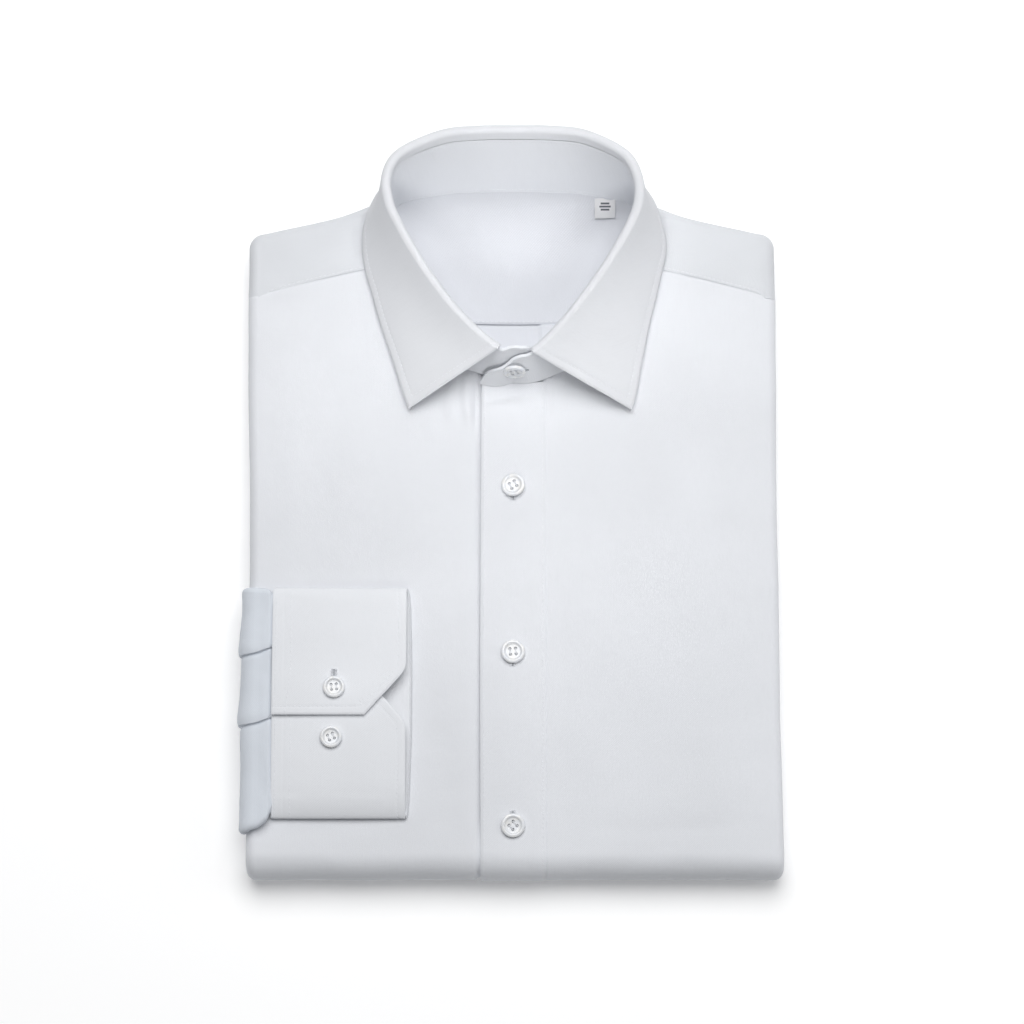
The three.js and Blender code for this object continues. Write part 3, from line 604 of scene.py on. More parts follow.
def folds(x, y, table):
    """Heights of the listed folds, softer on one side than on the other."""
    total = np.zeros(np.broadcast(x, y).shape)
    for x0, y0, x1, y1, width, height in table:
        dx, dy = x1 - x0, y1 - y0
        length = math.hypot(dx, dy)
        along = ((x - x0) * dx + (y - y0) * dy) / length**2
        across = ((x - x0) * dy - (y - y0) * dx) / length / width
        across = across + 0.35 * np.sin(along * 4.1 + x0)
        ends = smooth(along, -0.3, 0.25) * (1 - smooth(along, 0.75, 1.3))
        total = total + height * np.exp(-(across**2)) * (1 + 0.4 * np.tanh(across)) * ends
    return total * bpy.context.scene.shirt_sizes.fold_height


def rumple(x, y, size, seed):
    """Slow uneven waves, the same each run."""
    total = 0.0
    for k in range(5):
        angle = seed * 1.7 + k * 2.399
        wave = size * (0.7 + 0.23 * k)
        u = (x * math.cos(angle) + y * math.sin(angle)) / wave
        v = (y * math.cos(angle) - x * math.sin(angle)) / wave
        total = total + np.sin(2 * math.pi * u + seed * 3.1 * k + 1.3 * np.sin(3.7 * v))
    return total / 5 * bpy.context.scene.shirt_sizes.fold_height


def waves(x, y, *layers):
    """Slow waves laid over each other, each with its height, size and seed."""
    return sum(height * rumple(x, y, size, seed) for height, size, seed in layers)


def normals(grid, hint):
    """Normals of a grid of points; hint is a row, a column and the way it faces there."""
    n = unit(np.cross(np.gradient(grid, axis=0), np.gradient(grid, axis=1)))
    row, column, way = hint
    return n if n[row, column] @ np.array(way, float) > 0 else -n


def lengths(grid):
    """Distance along each column and along each row of a grid, from its first point."""
    down = np.zeros(grid.shape[:2])
    down[1:] = np.cumsum(np.linalg.norm(np.diff(grid, axis=0), axis=2), axis=0)
    over = np.zeros(grid.shape[:2])
    over[:, 1:] = np.cumsum(np.linalg.norm(np.diff(grid, axis=1), axis=2), axis=1)
    return down, over


def only(obj):
    bpy.ops.object.select_all(action="DESELECT")
    obj.select_set(True)
    bpy.context.view_layer.objects.active = obj


@contextmanager
def editing(obj):
    """Edit mode on one object, with all of it selected."""
    only(obj)
    bpy.ops.object.mode_set(mode="EDIT")
    bpy.ops.mesh.select_all(action="SELECT")
    yield
    bpy.ops.object.mode_set(mode="OBJECT")


def place_piece(obj, material, replaces=()):
    """Gives a piece its material and its place in the frame."""
    obj.data.materials.clear()
    obj.data.materials.append(finish_of(material))
    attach(obj, BODY)
    if replaces:
        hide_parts(*replaces)
    return obj


def mesh_piece(name, points, faces):
    mesh = bpy.data.meshes.new(name)
    mesh.from_pydata(((points + SHIFT) * MM).tolist(), [], faces)
    mesh.validate()
    obj = bpy.data.objects.new(name, mesh)
    bpy.context.scene.collection.objects.link(obj)
    return obj


def cloth_piece(name, grid, hint, thick, material, slot, *replaces, uv=None):
    """A sheet of cloth from a grid of points on its outer face, with its own thickness."""
    rows, columns = grid.shape[:2]
    index = np.arange(rows * columns).reshape(rows, columns)
    corners = (index[:-1, :-1], index[1:, :-1], index[1:, 1:], index[:-1, 1:])
    quads = np.stack([c.ravel() for c in corners], axis=1)
    facing = unit(np.cross(np.gradient(grid, axis=0), np.gradient(grid, axis=1)))
    row, column, way = hint
    if facing[row, column] @ np.array(way, float) < 0:
        quads = quads[:, ::-1]
    obj = mesh_piece(name, grid.reshape(-1, 3), quads.tolist())
    down, over = lengths(grid)
    u, v = (over, down) if uv is None else uv
    uv = np.stack([u.ravel(), v.ravel()], axis=1) * MM
    layer = obj.data.uv_layers.new(name="cloth")
    corner = np.zeros(len(obj.data.loops), np.int32)
    obj.data.loops.foreach_get("vertex_index", corner)
    layer.data.foreach_set("uv", uv[corner].astype(np.float32).ravel())
    solid = obj.modifiers.new("cloth", "SOLIDIFY")
    solid.thickness = thick * MM
    solid.offset = -1
    only(obj)
    bpy.ops.object.modifier_apply(modifier=solid.name)
    bpy.ops.object.shade_smooth_by_angle(angle=math.radians(50))
    return place_piece(obj, material, replaces)


# --- the folded pack
def body_edge(side, y):
    return np.interp(y, BODY_EDGES[:, 0], BODY_EDGES[:, 1 if side < 0 else 2])


def pack_height(y):
    """The upper pack is a little thinner towards the shoulder fold."""
    return PACK - SHOULDER_THINNER * smooth(y, 124, 166)


def pack_top(y):
    return PACK + pack_height(y)


def on_path(x, y, turn, r):
    """A place on the fold's path: turn is 0 on top and half a turn on the underside."""
    x, y, turn, r = np.broadcast_arrays(x, y, turn, r)
    return np.stack([x, y - r * np.sin(turn), PACK + r * np.cos(turn)], axis=-1)


def path_rows(tail_y, top_y, lower, bend, upper):
    """Places from the tail on the underside, round the bend and up to the top."""
    f = np.linspace(0, 1, lower)
    g = np.linspace(0, 1, bend + 2)[1:-1]
    h = np.linspace(0, 1, upper)
    fold = np.full(np.shape(tail_y), FOLD_Y)
    ys = [tail_y + (fold - tail_y) * s for s in f] + [fold for _ in g]
    ys += [fold + (top_y - fold) * s for s in h]
    turns = np.concatenate([np.full(lower, math.pi), math.pi * (1 - g), np.zeros(upper)])
    return np.array(ys), turns


def shoulder_y(x):
    """The shoulder fold, which slopes up towards the collar and more so close to it."""
    far = np.abs(x)
    return SHOULDER_Y + (133 - far) * SHOULDER_SLOPE + NECK_RISE * (1 - smooth(far, 36, 92))


def tail_y(x):
    reach = np.minimum(np.abs(x) / 110, 1)
    return TAIL_Y + TAIL_CURVE * np.cos(math.pi / 2 * reach) ** 2


def yoke_seam_y(x):
    """The yoke's front seam, which slopes down outwards and bows up a little."""
    far = np.abs(x)
    far = np.where(far > 127, 133.6, far)
    share = (far - SEAM_START_X) / (133.6 - SEAM_START_X)
    return SEAM_START_Y - SEAM_DROP * share + SEAM_BOW * share * (1 - share)


# --- collar curves, by turn: 0 at the back middle, -11 and 11 at the front middle
class RingCurve:
    """A smooth curve through one point for each whole turn."""

    def __init__(self, row_point):
        last = FRONT_MIDDLE + RUN_PAST
        points = []
        for turn in range(-last, last + 1):
            side = (-1 if turn < 0 else 1) * (-1 if abs(turn) > FRONT_MIDDLE else 1)
            points.append(row_point(abs(FRONT_MIDDLE - abs(turn)), side))
        self.points = np.array(points, float)

    def at(self, turn):
        """Points of the curve at an array of turns."""
        last = len(self.points) - 1
        place = np.clip(np.asarray(turn, float) + FRONT_MIDDLE + RUN_PAST, 0, last - 1e-9)
        i = place.astype(int)
        t = (place - i)[..., None]
        p0, p1, p2, p3 = (self.points[np.clip(i + k, 0, last)] for k in (-1, 0, 1, 2))
        m1, m2 = (p2 - p0) / 2, (p3 - p1) / 2
        a = (2 * t**3 - 3 * t**2 + 1) * p1 + (t**3 - 2 * t**2 + t) * m1
        return a + (3 * t**2 - 2 * t**3) * p2 + (t**3 - t**2) * m2

    def out(self, turn):
        """Level direction away from the neck, square to the curve."""
        turn = np.asarray(turn, float)
        tangent = self.at(turn + 0.02) - self.at(turn - 0.02)
        return unit(np.stack([-tangent[..., 1], tangent[..., 0], tangent[..., 2] * 0], axis=-1))


def seam_row(i, side):
    x, y, rise = COLLAR[i, :3]
    return (COLLAR_X + side * x, y, pack_top(y) + rise)


SEAM = RingCurve(seam_row)


def roll_row(i, side):
    x, y, z, trim = COLLAR[i, 3:]
    return (COLLAR_X + side * (x - trim * (side > 0)), y, z)


ROLL = RingCurve(roll_row)
EDGE = RingCurve(lambda i, side: (*LEAF_EDGE[i, :2 if side < 0 else 4][-2:], LEAF_EDGE[i, 4]))
UP = np.array([0.0, 0.0, 1.0])


class CollarLines:
    """The collar's sections at an array of turns: neck side, roll and leaf."""

    def __init__(self, turn):
        turn = np.asarray(turn, float)
        lift = BAND_LIFT * smooth(turn, FRONT_MIDDLE - 2.4, FRONT_MIDDLE - 0.9)[..., None]
        self.turn = turn
        self.out = ROLL.out(turn)
        lift = lift + END_DROP * smooth(turn, FRONT_MIDDLE + 0.1, FRONT_MIDDLE + 1.3)[..., None]
        back = UNDER_BACK * smooth(-turn, LEAF_END - 0.6, FRONT_MIDDLE)[..., None]
        self.seam = SEAM.at(turn) + SEAM.out(turn) * (lift * 1.15 - back)
        self.roll = ROLL.at(turn) + self.out * (lift - back) + UP * back * 0.8
        self.edge = EDGE.at(turn)
        self.middle = self.roll - FOLD_RADIUS * UP
        self.angle = self.touch_angle(self.seam, -1)
        self.touch = self.on_roll(self.angle)

    def touch_angle(self, target, way):
        """Where on the roll a straight line from the target touches it."""
        run = target - self.middle
        u = (run * self.out).sum(-1)
        z = run[..., 2]
        share = np.clip(FOLD_RADIUS / np.hypot(u, z), -1, 1)
        return np.arctan2(z, u) + way * np.arccos(share)

    def on_roll(self, angle):
        angle = np.asarray(angle)[..., None]
        across = self.out * np.cos(angle) * FOLD_RADIUS
        return self.middle + across + UP * np.sin(angle) * FOLD_RADIUS

    def neck_side(self, share):
        return self.seam + (self.touch - self.seam) * np.asarray(share)[..., None]


def band_share(turn):
    """How far up from the neck seam to the roll the band's top is."""
    return 0.89 + 0.04 * smooth(np.abs(turn), 2, 5)


def band_top_share(turn):
    """The same with the band's two ends rounded off, the left one falling further."""
    past = (np.abs(turn) - (FRONT_MIDDLE - 1)) / (1 + BAND_END)
    inside = np.clip(past, 0, 0.9995)
    falling = np.where(turn > 0, 0.44 * smooth(inside, 0.2, 1), -0.05 * smooth(inside, 0, 0.3))
    end = np.maximum((1 - inside**14) ** 0.5, 0.12)
    return band_share(turn) * (1 - falling) * np.where(past > 0, end, 1)


OUTLINE = SEAM.at(np.linspace(-FRONT_MIDDLE, FRONT_MIDDLE, 321))
OUTLINE_ANGLES = np.arctan2(OUTLINE[:, 0] - NECK_MIDDLE[0], OUTLINE[:, 1] - NECK_MIDDLE[1])
OUTLINE_REACH = np.hypot(OUTLINE[:, 0] - NECK_MIDDLE[0], OUTLINE[:, 1] - NECK_MIDDLE[1])
ORDER = np.argsort(OUTLINE_ANGLES)


def neck_share(x, y):
    """0 in the middle of the neck, 1 on its seam."""
    dx, dy = x - NECK_MIDDLE[0], y - NECK_MIDDLE[1]
    angle = np.arctan2(dx, dy)
    reach = np.interp(
        angle, OUTLINE_ANGLES[ORDER], OUTLINE_REACH[ORDER], period=2 * math.pi
    )
    return np.hypot(dx, dy) / reach


def hollow_top(x, y):
    return pack_top(y) - HOLLOW * (1 - np.minimum(neck_share(x, y), 1) ** 3)


def neckline_y(x):
    """How far up a front reaches at x, just outside the neck seam."""
    side = np.where(x < COLLAR_X, -1, 1)
    result = np.full(np.shape(x), 1e9)
    for way in (-1, 1):
        turn = way * np.linspace(FRONT_MIDDLE, 4.5, 240)
        p = SEAM.at(turn) + SEAM.out(turn) * NECK_OUT
        reach = np.maximum.accumulate(way * p[:, 0])
        found = np.interp(way * x, reach, p[:, 1], right=1e9)
        result = np.where(side == way, found, result)
    return result


def placket_dip(turn):
    """How deep the placket is bedded in the right front, more so under the pack."""
    return 0.8 + 0.9 * turn / math.pi


# --- the pieces
# Rows of a grid that lie under the pack, round the bend and on top.
FRONT_ROWS = (56, 26, 220)
PLACKET_ROWS = (50, 26, 150)
RIM_STEPS = 17
FRONT_BESIDE_PLACKET = (PLACKET_LEFT - 0.8, PLACKET_RIGHT)
RIM_SWELL_UNDER = {-1: 0.2, 1: 0.7}  # how far each edge swells out below the groove
SEAM_TUCK = 1.0  # how deep a front goes down into the yoke's seam
BEND_WAVE = 0.35


def front_columns(side):
    """The flat columns of one front, from under or beside the placket outwards."""
    end = side * (body_edge(side, 0) - RIM)
    over = np.linspace(side * 21.0, end, 66)
    if side < 0:
        under = np.linspace(UNDERLAP, -14.0, 12)
        edge = [-14.8, -15.4, -16.0, -16.6, -17.2, -17.9, -18.7, -19.7]
        return np.concatenate([under, edge, over])
    edge = [PLACKET_RIGHT - 2.4, 15.6, 16.6, 17.2, 17.8, 18.6, 19.6]
    return np.concatenate([edge, over])


def placket_tuck(side, xs):
    """How much deeper a front lies right beside the placket."""
    if side > 0:
        return 0.7 * (1 - smooth(xs, PLACKET_RIGHT - 0.9, PLACKET_RIGHT + 0.3))
    beside = xs - PLACKET_LEFT
    return 0.45 * smooth(beside, -7.0, -1.6) + 0.65 * smooth(beside, -1.1, -0.3)


def front_grid(side):
    """One front, from its tail round the bend to the yoke and neck, and round its edge."""
    flat = front_columns(side)
    end = flat[-1]
    rim = np.linspace(0, RIM_TURN * math.pi, RIM_STEPS)[1:]
    xs = np.concatenate([flat, np.full(len(rim), end)])
    angle = np.concatenate([np.zeros(len(flat)), rim])[None, :]
    top = np.minimum(neckline_y(xs), yoke_seam_y(xs) + UNDER_SEAM)
    ys, turn = path_rows(tail_y(xs), top, *FRONT_ROWS)
    turn = turn[:, None]
    spread = xs[None, :] + 0 * ys

    # The long edge curves a little, and the columns follow it more the nearer they are.
    inner_edge = body_edge(side, ys) - RIM
    follow = smooth(np.abs(xs), 60, np.abs(end))
    inner_x = xs * (1 + follow * (inner_edge / (body_edge(side, 0) - RIM) - 1))
    swell = smooth(turn, 1.2, 2.6) * RIM_SWELL_UNDER[side] + 0.35 * rumple(
        ys * 0, ys, 70, 3 + side
    )
    x = inner_x + side * (RIM + swell) * np.sin(angle)
    height = np.where(turn == 0, pack_height(ys), PACK)
    r = height / 2 * (1 + np.cos(angle))
    if side < 0:
        r = r - placket_dip(turn) * smooth(xs, -18.6, -16)[None, :]
    grid = on_path(x, ys, turn, r)

    # Heights that are added square to the cloth.
    upper = (turn == 0) * smooth(ys, -171, -150)
    flatness = np.cos(np.clip(angle, 0, math.pi / 2))
    table = RIGHT_FRONT_FOLDS if side < 0 else LEFT_FRONT_FOLDS
    near_edge = FRONT_BESIDE_PLACKET[0 if side < 0 else 1]
    away = smooth(np.abs(xs[None, :] - near_edge), 0.0, 6.0)
    soft = waves(spread, ys, (0.30, 62, 5 + side), (0.12, 24, 8 + side))
    lift = (folds(spread, ys, table) + soft * away) * upper
    to_seam = yoke_seam_y(xs)[None, :] - ys
    lift = lift - SEAM_TUCK * (1 - smooth(to_seam, -0.9, 0.9)) * upper
    bend = smooth(turn, 0, 0.5) * (1 - smooth(turn, 2.6, 3.1))
    lift = lift + BEND_WAVE * bend * rumple(spread, ys * 0 + turn * 12, 48, 2)
    lift = lift - np.abs((turn > 3) * 0.25 * rumple(spread, ys, 70, 11))
    tuck = placket_tuck(side, xs)[None, :] * (upper if side < 0 else 1)
    hint = (-20, len(flat) // 2, (0, 0, 1))
    grid = grid + normals(grid, hint) * (lift * flatness - tuck)[..., None]

    # The weave follows the cloth's own lengths.
    path = np.where(turn == 0, math.pi * PACK + ys - FOLD_Y, (math.pi - turn) * PACK)
    path = np.where(turn > 3.14, FOLD_Y - ys, path)
    across = np.concatenate([flat * side, end * side + 5.7 * rim])[None, :] + 0 * ys
    return grid, hint, (across, path + 0 * across)


def placket_grid():
    """The placket, with its free edge rounded over on the left."""
    near = np.array([0, 0.25, 0.6, 1.1, 1.6, 2.2])
    xs = np.concatenate(
        [PLACKET_LEFT + near, np.linspace(-12.4, 13.9, 17), PLACKET_RIGHT - near[::-1]]
    )
    ys, turn = path_rows(tail_y(xs), np.full(len(xs), PLACKET_TOP), *PLACKET_ROWS)
    turn = turn[:, None]
    from_left = xs[None, :] - PLACKET_LEFT
    from_right = PLACKET_RIGHT - xs[None, :]
    edges = 0.45 * (1 - smooth(from_left, 0, 1.3)) + 0.75 * (1 - smooth(from_right, 0, 4.5))
    sewn = 0.14 * bell(from_left, 5.5, 0.9)
    raised = GAP + PLACKET_WALL - placket_dip(turn) - edges * (1 - turn / math.pi) - sewn
    x = xs[None, :] + 0.25 * np.sin(ys / 47.0) * (from_left < 6) * (turn == 0)
    spread = xs[None, :] + 0 * ys
    soft = folds(spread, ys, PLACKET_FOLDS) + 0.16 * rumple(spread, ys, 42, 9)
    return on_path(x, ys, turn, PACK + raised + soft * (turn == 0)), (-20, 10, (0, 0, 1))


# One half of the yoke is drawn by steps of t, from the long edge to the middle.
YOKE_STEPS = 19
YOKE_EDGE_END, YOKE_CORNER_END = 2, 5
YOKE_CORNER_TURN = math.pi / 2.1
YOKE_SHOULDER_XS = [105, 88, 76, 72, 69, 66, 63, 60, 56, 51, 44, 33, 18, 0]
YOKE_SEAM_XS = [122, 116, 110, 103, 96, 90, 82, 74, 68]
YOKE_NECK_TURNS = [5.6, 5, 4.4, 3.8, 3.3, 2.7, 2.1, 1.4, 0.7, 0]


def yoke_half(side, count):
    """Outer line with its outward direction, and inner seam, of one half of the yoke."""
    edge_x = body_edge(side, 140)
    corner_x = edge_x - CORNER
    corner_y = shoulder_y(corner_x) - CORNER
    seam_start = yoke_seam_y(edge_x) + 2 * GAP
    t = np.linspace(0, YOKE_STEPS, count)
    rise = np.clip(t / YOKE_EDGE_END, 0, 1)
    share = (t - YOKE_EDGE_END) / (YOKE_CORNER_END - YOKE_EDGE_END)
    arc = np.clip(share, 0, 1) * YOKE_CORNER_TURN
    arc_x = corner_x + CORNER * np.cos(YOKE_CORNER_TURN)
    steps = np.arange(YOKE_CORNER_END, YOKE_STEPS + 1)
    along_x = np.interp(t, steps, [arc_x, *YOKE_SHOULDER_XS])
    slope = shoulder_y(along_x - 1) - shoulder_y(along_x + 1)
    length = np.hypot(slope, 2)
    parts = [t <= YOKE_EDGE_END, t <= YOKE_CORNER_END]
    px = np.select(parts, [edge_x + 0 * t, corner_x + CORNER * np.cos(arc)], along_x)
    edge_y = seam_start + (corner_y - seam_start) * rise
    py = np.select(parts, [edge_y, corner_y + CORNER * np.sin(arc)], shoulder_y(along_x))
    nx = np.select(parts, [1 + 0 * t, np.cos(arc)], slope / length)
    ny = np.select(parts, [0 * t, np.sin(arc)], 2 / length)
    sx = np.interp(t, np.arange(10), [edge_x - RIM - 0.5, *YOKE_SEAM_XS])
    first_y = yoke_seam_y(float(YOKE_SEAM_XS[0])) + GAP
    sy = np.where(t < 1, seam_start + (first_y - seam_start) * t, yoke_seam_y(sx) + GAP)
    turn = side * np.interp(t, np.arange(10, 20), YOKE_NECK_TURNS)
    p = SEAM.at(turn) + SEAM.out(turn) * NECK_OUT
    neck_x, neck_y = side * p[:, 0], np.maximum(p[:, 1], yoke_seam_y(70.0) + GAP)
    blend = np.clip(t - 9, 0, 1)
    return px, py, nx, ny, sx + (neck_x - sx) * blend, sy + (neck_y - sy) * blend


def yoke_grid():
    """Outer yoke, from the front seams and the neck out to the shoulder fold and round it."""
    halves = []
    for side in (-1, 1):
        px, py, nx, ny, sx, sy = yoke_half(side, 170)
        rim_x, rim_y = px - RIM * nx, py - RIM * ny
        flats = []
        for f in graded(30, 1.2, 0.4, 3):
            x, y = sx + (rim_x - sx) * f, sy + (rim_y - sy) * f
            away = np.hypot(x - sx, y - sy)
            edge = 0.25 * (1 - smooth(away, 0.0, 1.0)) + 0.14 * bell(away, 1.7, 0.45)
            lift = folds(side * x, y, YOKE_FOLDS) * smooth(away, 1, 8) * (1 - f**4)
            soft = 0.22 * rumple(side * x, y, 46, 4) * smooth(away, 1, 8)
            flats.append(np.stack([side * x, y, pack_top(y) - edge + lift + soft], axis=-1))
        height = pack_height(rim_y)
        last = flats.pop()
        rounds = []
        for angle in np.linspace(0, math.pi * RIM_TURN, RIM_STEPS + 1):
            reach = RIM * math.sin(angle) + 0.3 * math.sin(angle) * rumple(rim_x, rim_y, 60, 6)
            z = PACK + height / 2 * (1 + math.cos(angle))
            z = z + (last[:, 2] - pack_top(rim_y)) * max(math.cos(angle), 0)
            rounds.append(np.stack([side * (rim_x + nx * reach), rim_y + ny * reach, z], axis=-1))
        halves.append(np.stack(flats + rounds, axis=1))
    left, right = halves
    return np.concatenate([left, right[::-1][1:]]), (20, 8, (0, 0, 1))


def inside_neck(turns, line_y, reach, rows):
    """A piece seen inside the neck, from the neck seam to the seam across the back."""
    start = SEAM.at(turns) - SEAM.out(turns) * 0.15
    end_x = COLLAR_X + np.linspace(-reach, reach, len(turns))
    step_up = start[:, 2] - hollow_top(start[:, 0], start[:, 1]) - 0.15
    grid = []
    for f in rows:
        x = start[:, 0] + (end_x - start[:, 0]) * f
        y = start[:, 1] + (line_y - start[:, 1]) * f
        far = np.hypot(x - start[:, 0], y - start[:, 1])
        grid.append(np.stack([x, y, hollow_top(x, y) + step_up * np.exp(-far / 3)], axis=-1))
    return np.array(grid)


def smoothed(x, times):
    """An open row of values with its small steps rounded off, ends kept."""
    for _ in range(times):
        x = np.concatenate([x[:1], (x[:-2] + 2 * x[1:-1] + x[2:]) / 4, x[-1:]])
    return x


def leaf_lines():
    """Turns of the leaf's sections, closer together at its two front edges."""
    ends = np.linspace(0, 0.42, 22)
    middle = np.linspace(0.45, 2 * LEAF_END - 0.45, 280)
    return np.concatenate([ends, middle, 2 * LEAF_END - ends[::-1]]) - LEAF_END


def leaf_grid():
    """Collar leaf: up from the band, over the roll and down to its edge."""
    turns = leaf_lines()
    lines = CollarLines(turns)
    line_length = np.linalg.norm(lines.touch - lines.seam, axis=-1)
    first = band_share(turns) + 0.6 / line_length
    rows = [lines.neck_side(first + (1 - first) * f) for f in np.linspace(0, 1, 7)[:-1]]
    end_angle = lines.touch_angle(lines.edge, 1)
    start_angle = np.where(lines.angle < 0, lines.angle + 2 * math.pi, lines.angle)
    for f in np.linspace(0, 1, 13):
        rows.append(lines.on_roll(start_angle + (end_angle - start_angle) * f))
    leave = rows[-1]
    run = lines.edge - leave
    run_length = np.linalg.norm(run, axis=-1)
    along = np.stack([lines.out[:, 1], -lines.out[:, 0], 0 * turns], axis=-1)
    belly = unit(np.cross(run, along))
    shares = graded(60, 1.7, 0.4, 7, both=False)[1:]
    front = smooth(np.abs(turns), 6.5, 10.1)
    for f in shares:
        swell = 1.6 * math.sin(math.pi * f) + 0.5 * front * math.sin(2 * math.pi * f)
        rows.append(leave + run * f + belly * swell[..., None])
    grid = np.array(rows)
    hint = (len(rows) - 10, len(turns) // 6, (0, 0, 1))
    _, over = lengths(grid)
    from_end = np.minimum(over, over[:, -1:] - over)
    from_edge = np.full(grid.shape[:2], 99.0)  # far off, above the leaf's own rows
    from_edge[-len(shares):] = (1 - shares)[:, None] * run_length[None, :]
    from_roll = np.zeros(grid.shape[:2])
    from_roll[-len(shares):] = shares[:, None] * run_length[None, :]
    near = np.minimum(from_edge, from_end)
    stitch = bpy.context.scene.shirt_sizes.edge_stitch / MM
    lift = -0.45 * (1 - smooth(near, 0, 1.0)) - 0.11 * bell(near, stitch, 0.7)
    lift = lift + 0.05 * bell(near, stitch / 2, 1.4)
    soft = folds(grid[..., 0], grid[..., 1], LEAF_FOLDS)
    soft = soft + 0.22 * rumple(grid[..., 0], grid[..., 1], 44, 7)
    lift = lift + soft * smooth(from_roll, 0, 12) * smooth(near, 0, 10)
    return grid + normals(grid, hint) * lift[..., None], hint, from_edge, from_end


def seam_line(grid, hint, near, distance, columns):
    """The line over a grid's last rows where near, a distance, has the wanted value."""
    n = normals(grid, hint)
    points, ways = [], []
    for j in columns:
        values = near[:, j]
        i = np.interp(-distance, -values[-40:], np.arange(len(values) - 40, len(values)))
        low = int(min(i, len(values) - 2))
        t = i - low
        points.append(grid[low, j] * (1 - t) + grid[low + 1, j] * t)
        ways.append(n[low, j])
    return np.array(points), np.array(ways)


TANGENT_STEP = 0.4  # before and after a stitch, to find the way it points


def along_line(at, along, values):
    return np.stack([np.interp(at, along, values[:, k]) for k in range(3)], axis=1)


def stitch_shape():
    """One stitch as points and faces: a short thread with dipping ends, along X."""
    sizes = bpy.context.scene.shirt_sizes
    length, thick = sizes.stitch_length / MM, sizes.thread / MM
    bpy.ops.object.select_all(action="DESELECT")
    bpy.ops.mesh.primitive_cylinder_add(
        vertices=6, radius=thick / 2, depth=length, rotation=(0, math.pi / 2, 0)
    )
    obj = bpy.context.object
    bpy.ops.object.transform_apply(location=False, rotation=True, scale=False)
    with editing(obj):
        for cut in (-length * 0.28, length * 0.28):
            bpy.ops.mesh.select_all(action="SELECT")
            bpy.ops.mesh.bisect(plane_co=(cut, 0, 0), plane_no=(1, 0, 0))
    points = np.array([v.co for v in obj.data.vertices])
    faces = [list(p.vertices) for p in obj.data.polygons]
    end = smooth(np.abs(points[:, 0]), length * 0.3, length * 0.5)
    points[:, 2] -= end * thick * 0.8
    points[:, 1] *= 1 - 0.3 * end
    bpy.data.objects.remove(obj)
    return points, faces


def thread_piece(name, points, faces):
    """A piece of thread from closed shapes, with their faces turned outwards."""
    obj = mesh_piece(name, points, faces)
    with editing(obj):
        bpy.ops.mesh.normals_make_consistent(inside=False)
    bpy.ops.object.shade_smooth_by_angle(angle=math.radians(60))
    return place_piece(obj, "thread")


def stitching(name, lines, pitch=None, turned=False, scale=1.0):
    """A piece of sewing thread: stitches along lines of points and normals."""
    pitch = pitch or bpy.context.scene.shirt_sizes.stitch_pitch / MM
    shape, faces = stitch_shape()
    shape = shape * scale
    all_points, all_faces = [], []
    for points, ways in lines:
        step = np.linalg.norm(np.diff(points, axis=0), axis=1)
        along = np.concatenate([[0], np.cumsum(step)])
        if along[-1] < pitch:
            continue
        at = np.arange(pitch / 2, along[-1], pitch)
        spot = along_line(at, along, points)
        up = unit(along_line(at, along, ways))
        ahead = along_line(at + TANGENT_STEP, along, points)
        tangent = unit(ahead - along_line(at - TANGENT_STEP, along, points))
        side = unit(np.cross(up, tangent))
        up = np.cross(tangent, side)
        first, second = (side, tangent) if turned else (tangent, side)
        for i in range(len(at)):
            axes = np.array([first[i], second[i], up[i]])
            all_points.append(shape @ axes + spot[i])
            base = (len(all_points) - 1) * len(shape)
            all_faces.extend([[base + k for k in face] for face in faces])
    return thread_piece(name, np.concatenate(all_points), all_faces)


class SHIRT_OT_fronts(bpy.types.Operator):
    """Makes both fronts, which cover the top, the long edges, the bend and the underside."""

    bl_idname = "shirt.fronts"
    bl_label = "Fronts"

    def execute(self, context):
        pieces = ((-1, "right_front", "front_right", 0.165), (1, "left_front", "front_left", 0.136))
        for side, name, node, width in pieces:
            grid, hint, uv = front_grid(side)
            obj = cloth_piece(name, grid, hint, BODY_WALL, "shirting", "shirting", node, uv=uv)
        return {"FINISHED"}


class SHIRT_OT_placket(bpy.types.Operator):
    """Makes the placket down the middle with its edge stitching."""

    bl_idname = "shirt.placket"
    bl_label = "Placket"

    def execute(self, context):
        grid, hint = placket_grid()
        thick = PLACKET_WALL - 0.1
        obj = cloth_piece(
            "placket", grid, hint, thick, "shirting", "shirting", "front_placket"
        )
        n = normals(grid, hint)
        shown = slice(PLACKET_ROWS[0] + 5, None)
        lines = [(grid[shown, j], n[shown, j]) for j in (4, grid.shape[1] - 5)]
        sewn = stitching("placket_stitching", lines)
        return {"FINISHED"}


def outer_yoke():
    """The yoke over both shoulders, with stitching along its two front seams."""
    grid, hint = yoke_grid()
    # The outer yoke takes the darker yoke cloth: painted shade.
    yoke = cloth_piece("outer_yoke", grid, hint, BODY_WALL, "yoke_cloth", "shirting", "yoke")
    n = normals(grid, hint)
    last = 2 * (len(grid) // 2)
    seams = (slice(6, 78), slice(last - 78, last - 6))
    sewn = stitching("yoke_stitching", [(grid[rows, 4], n[rows, 4]) for rows in seams])


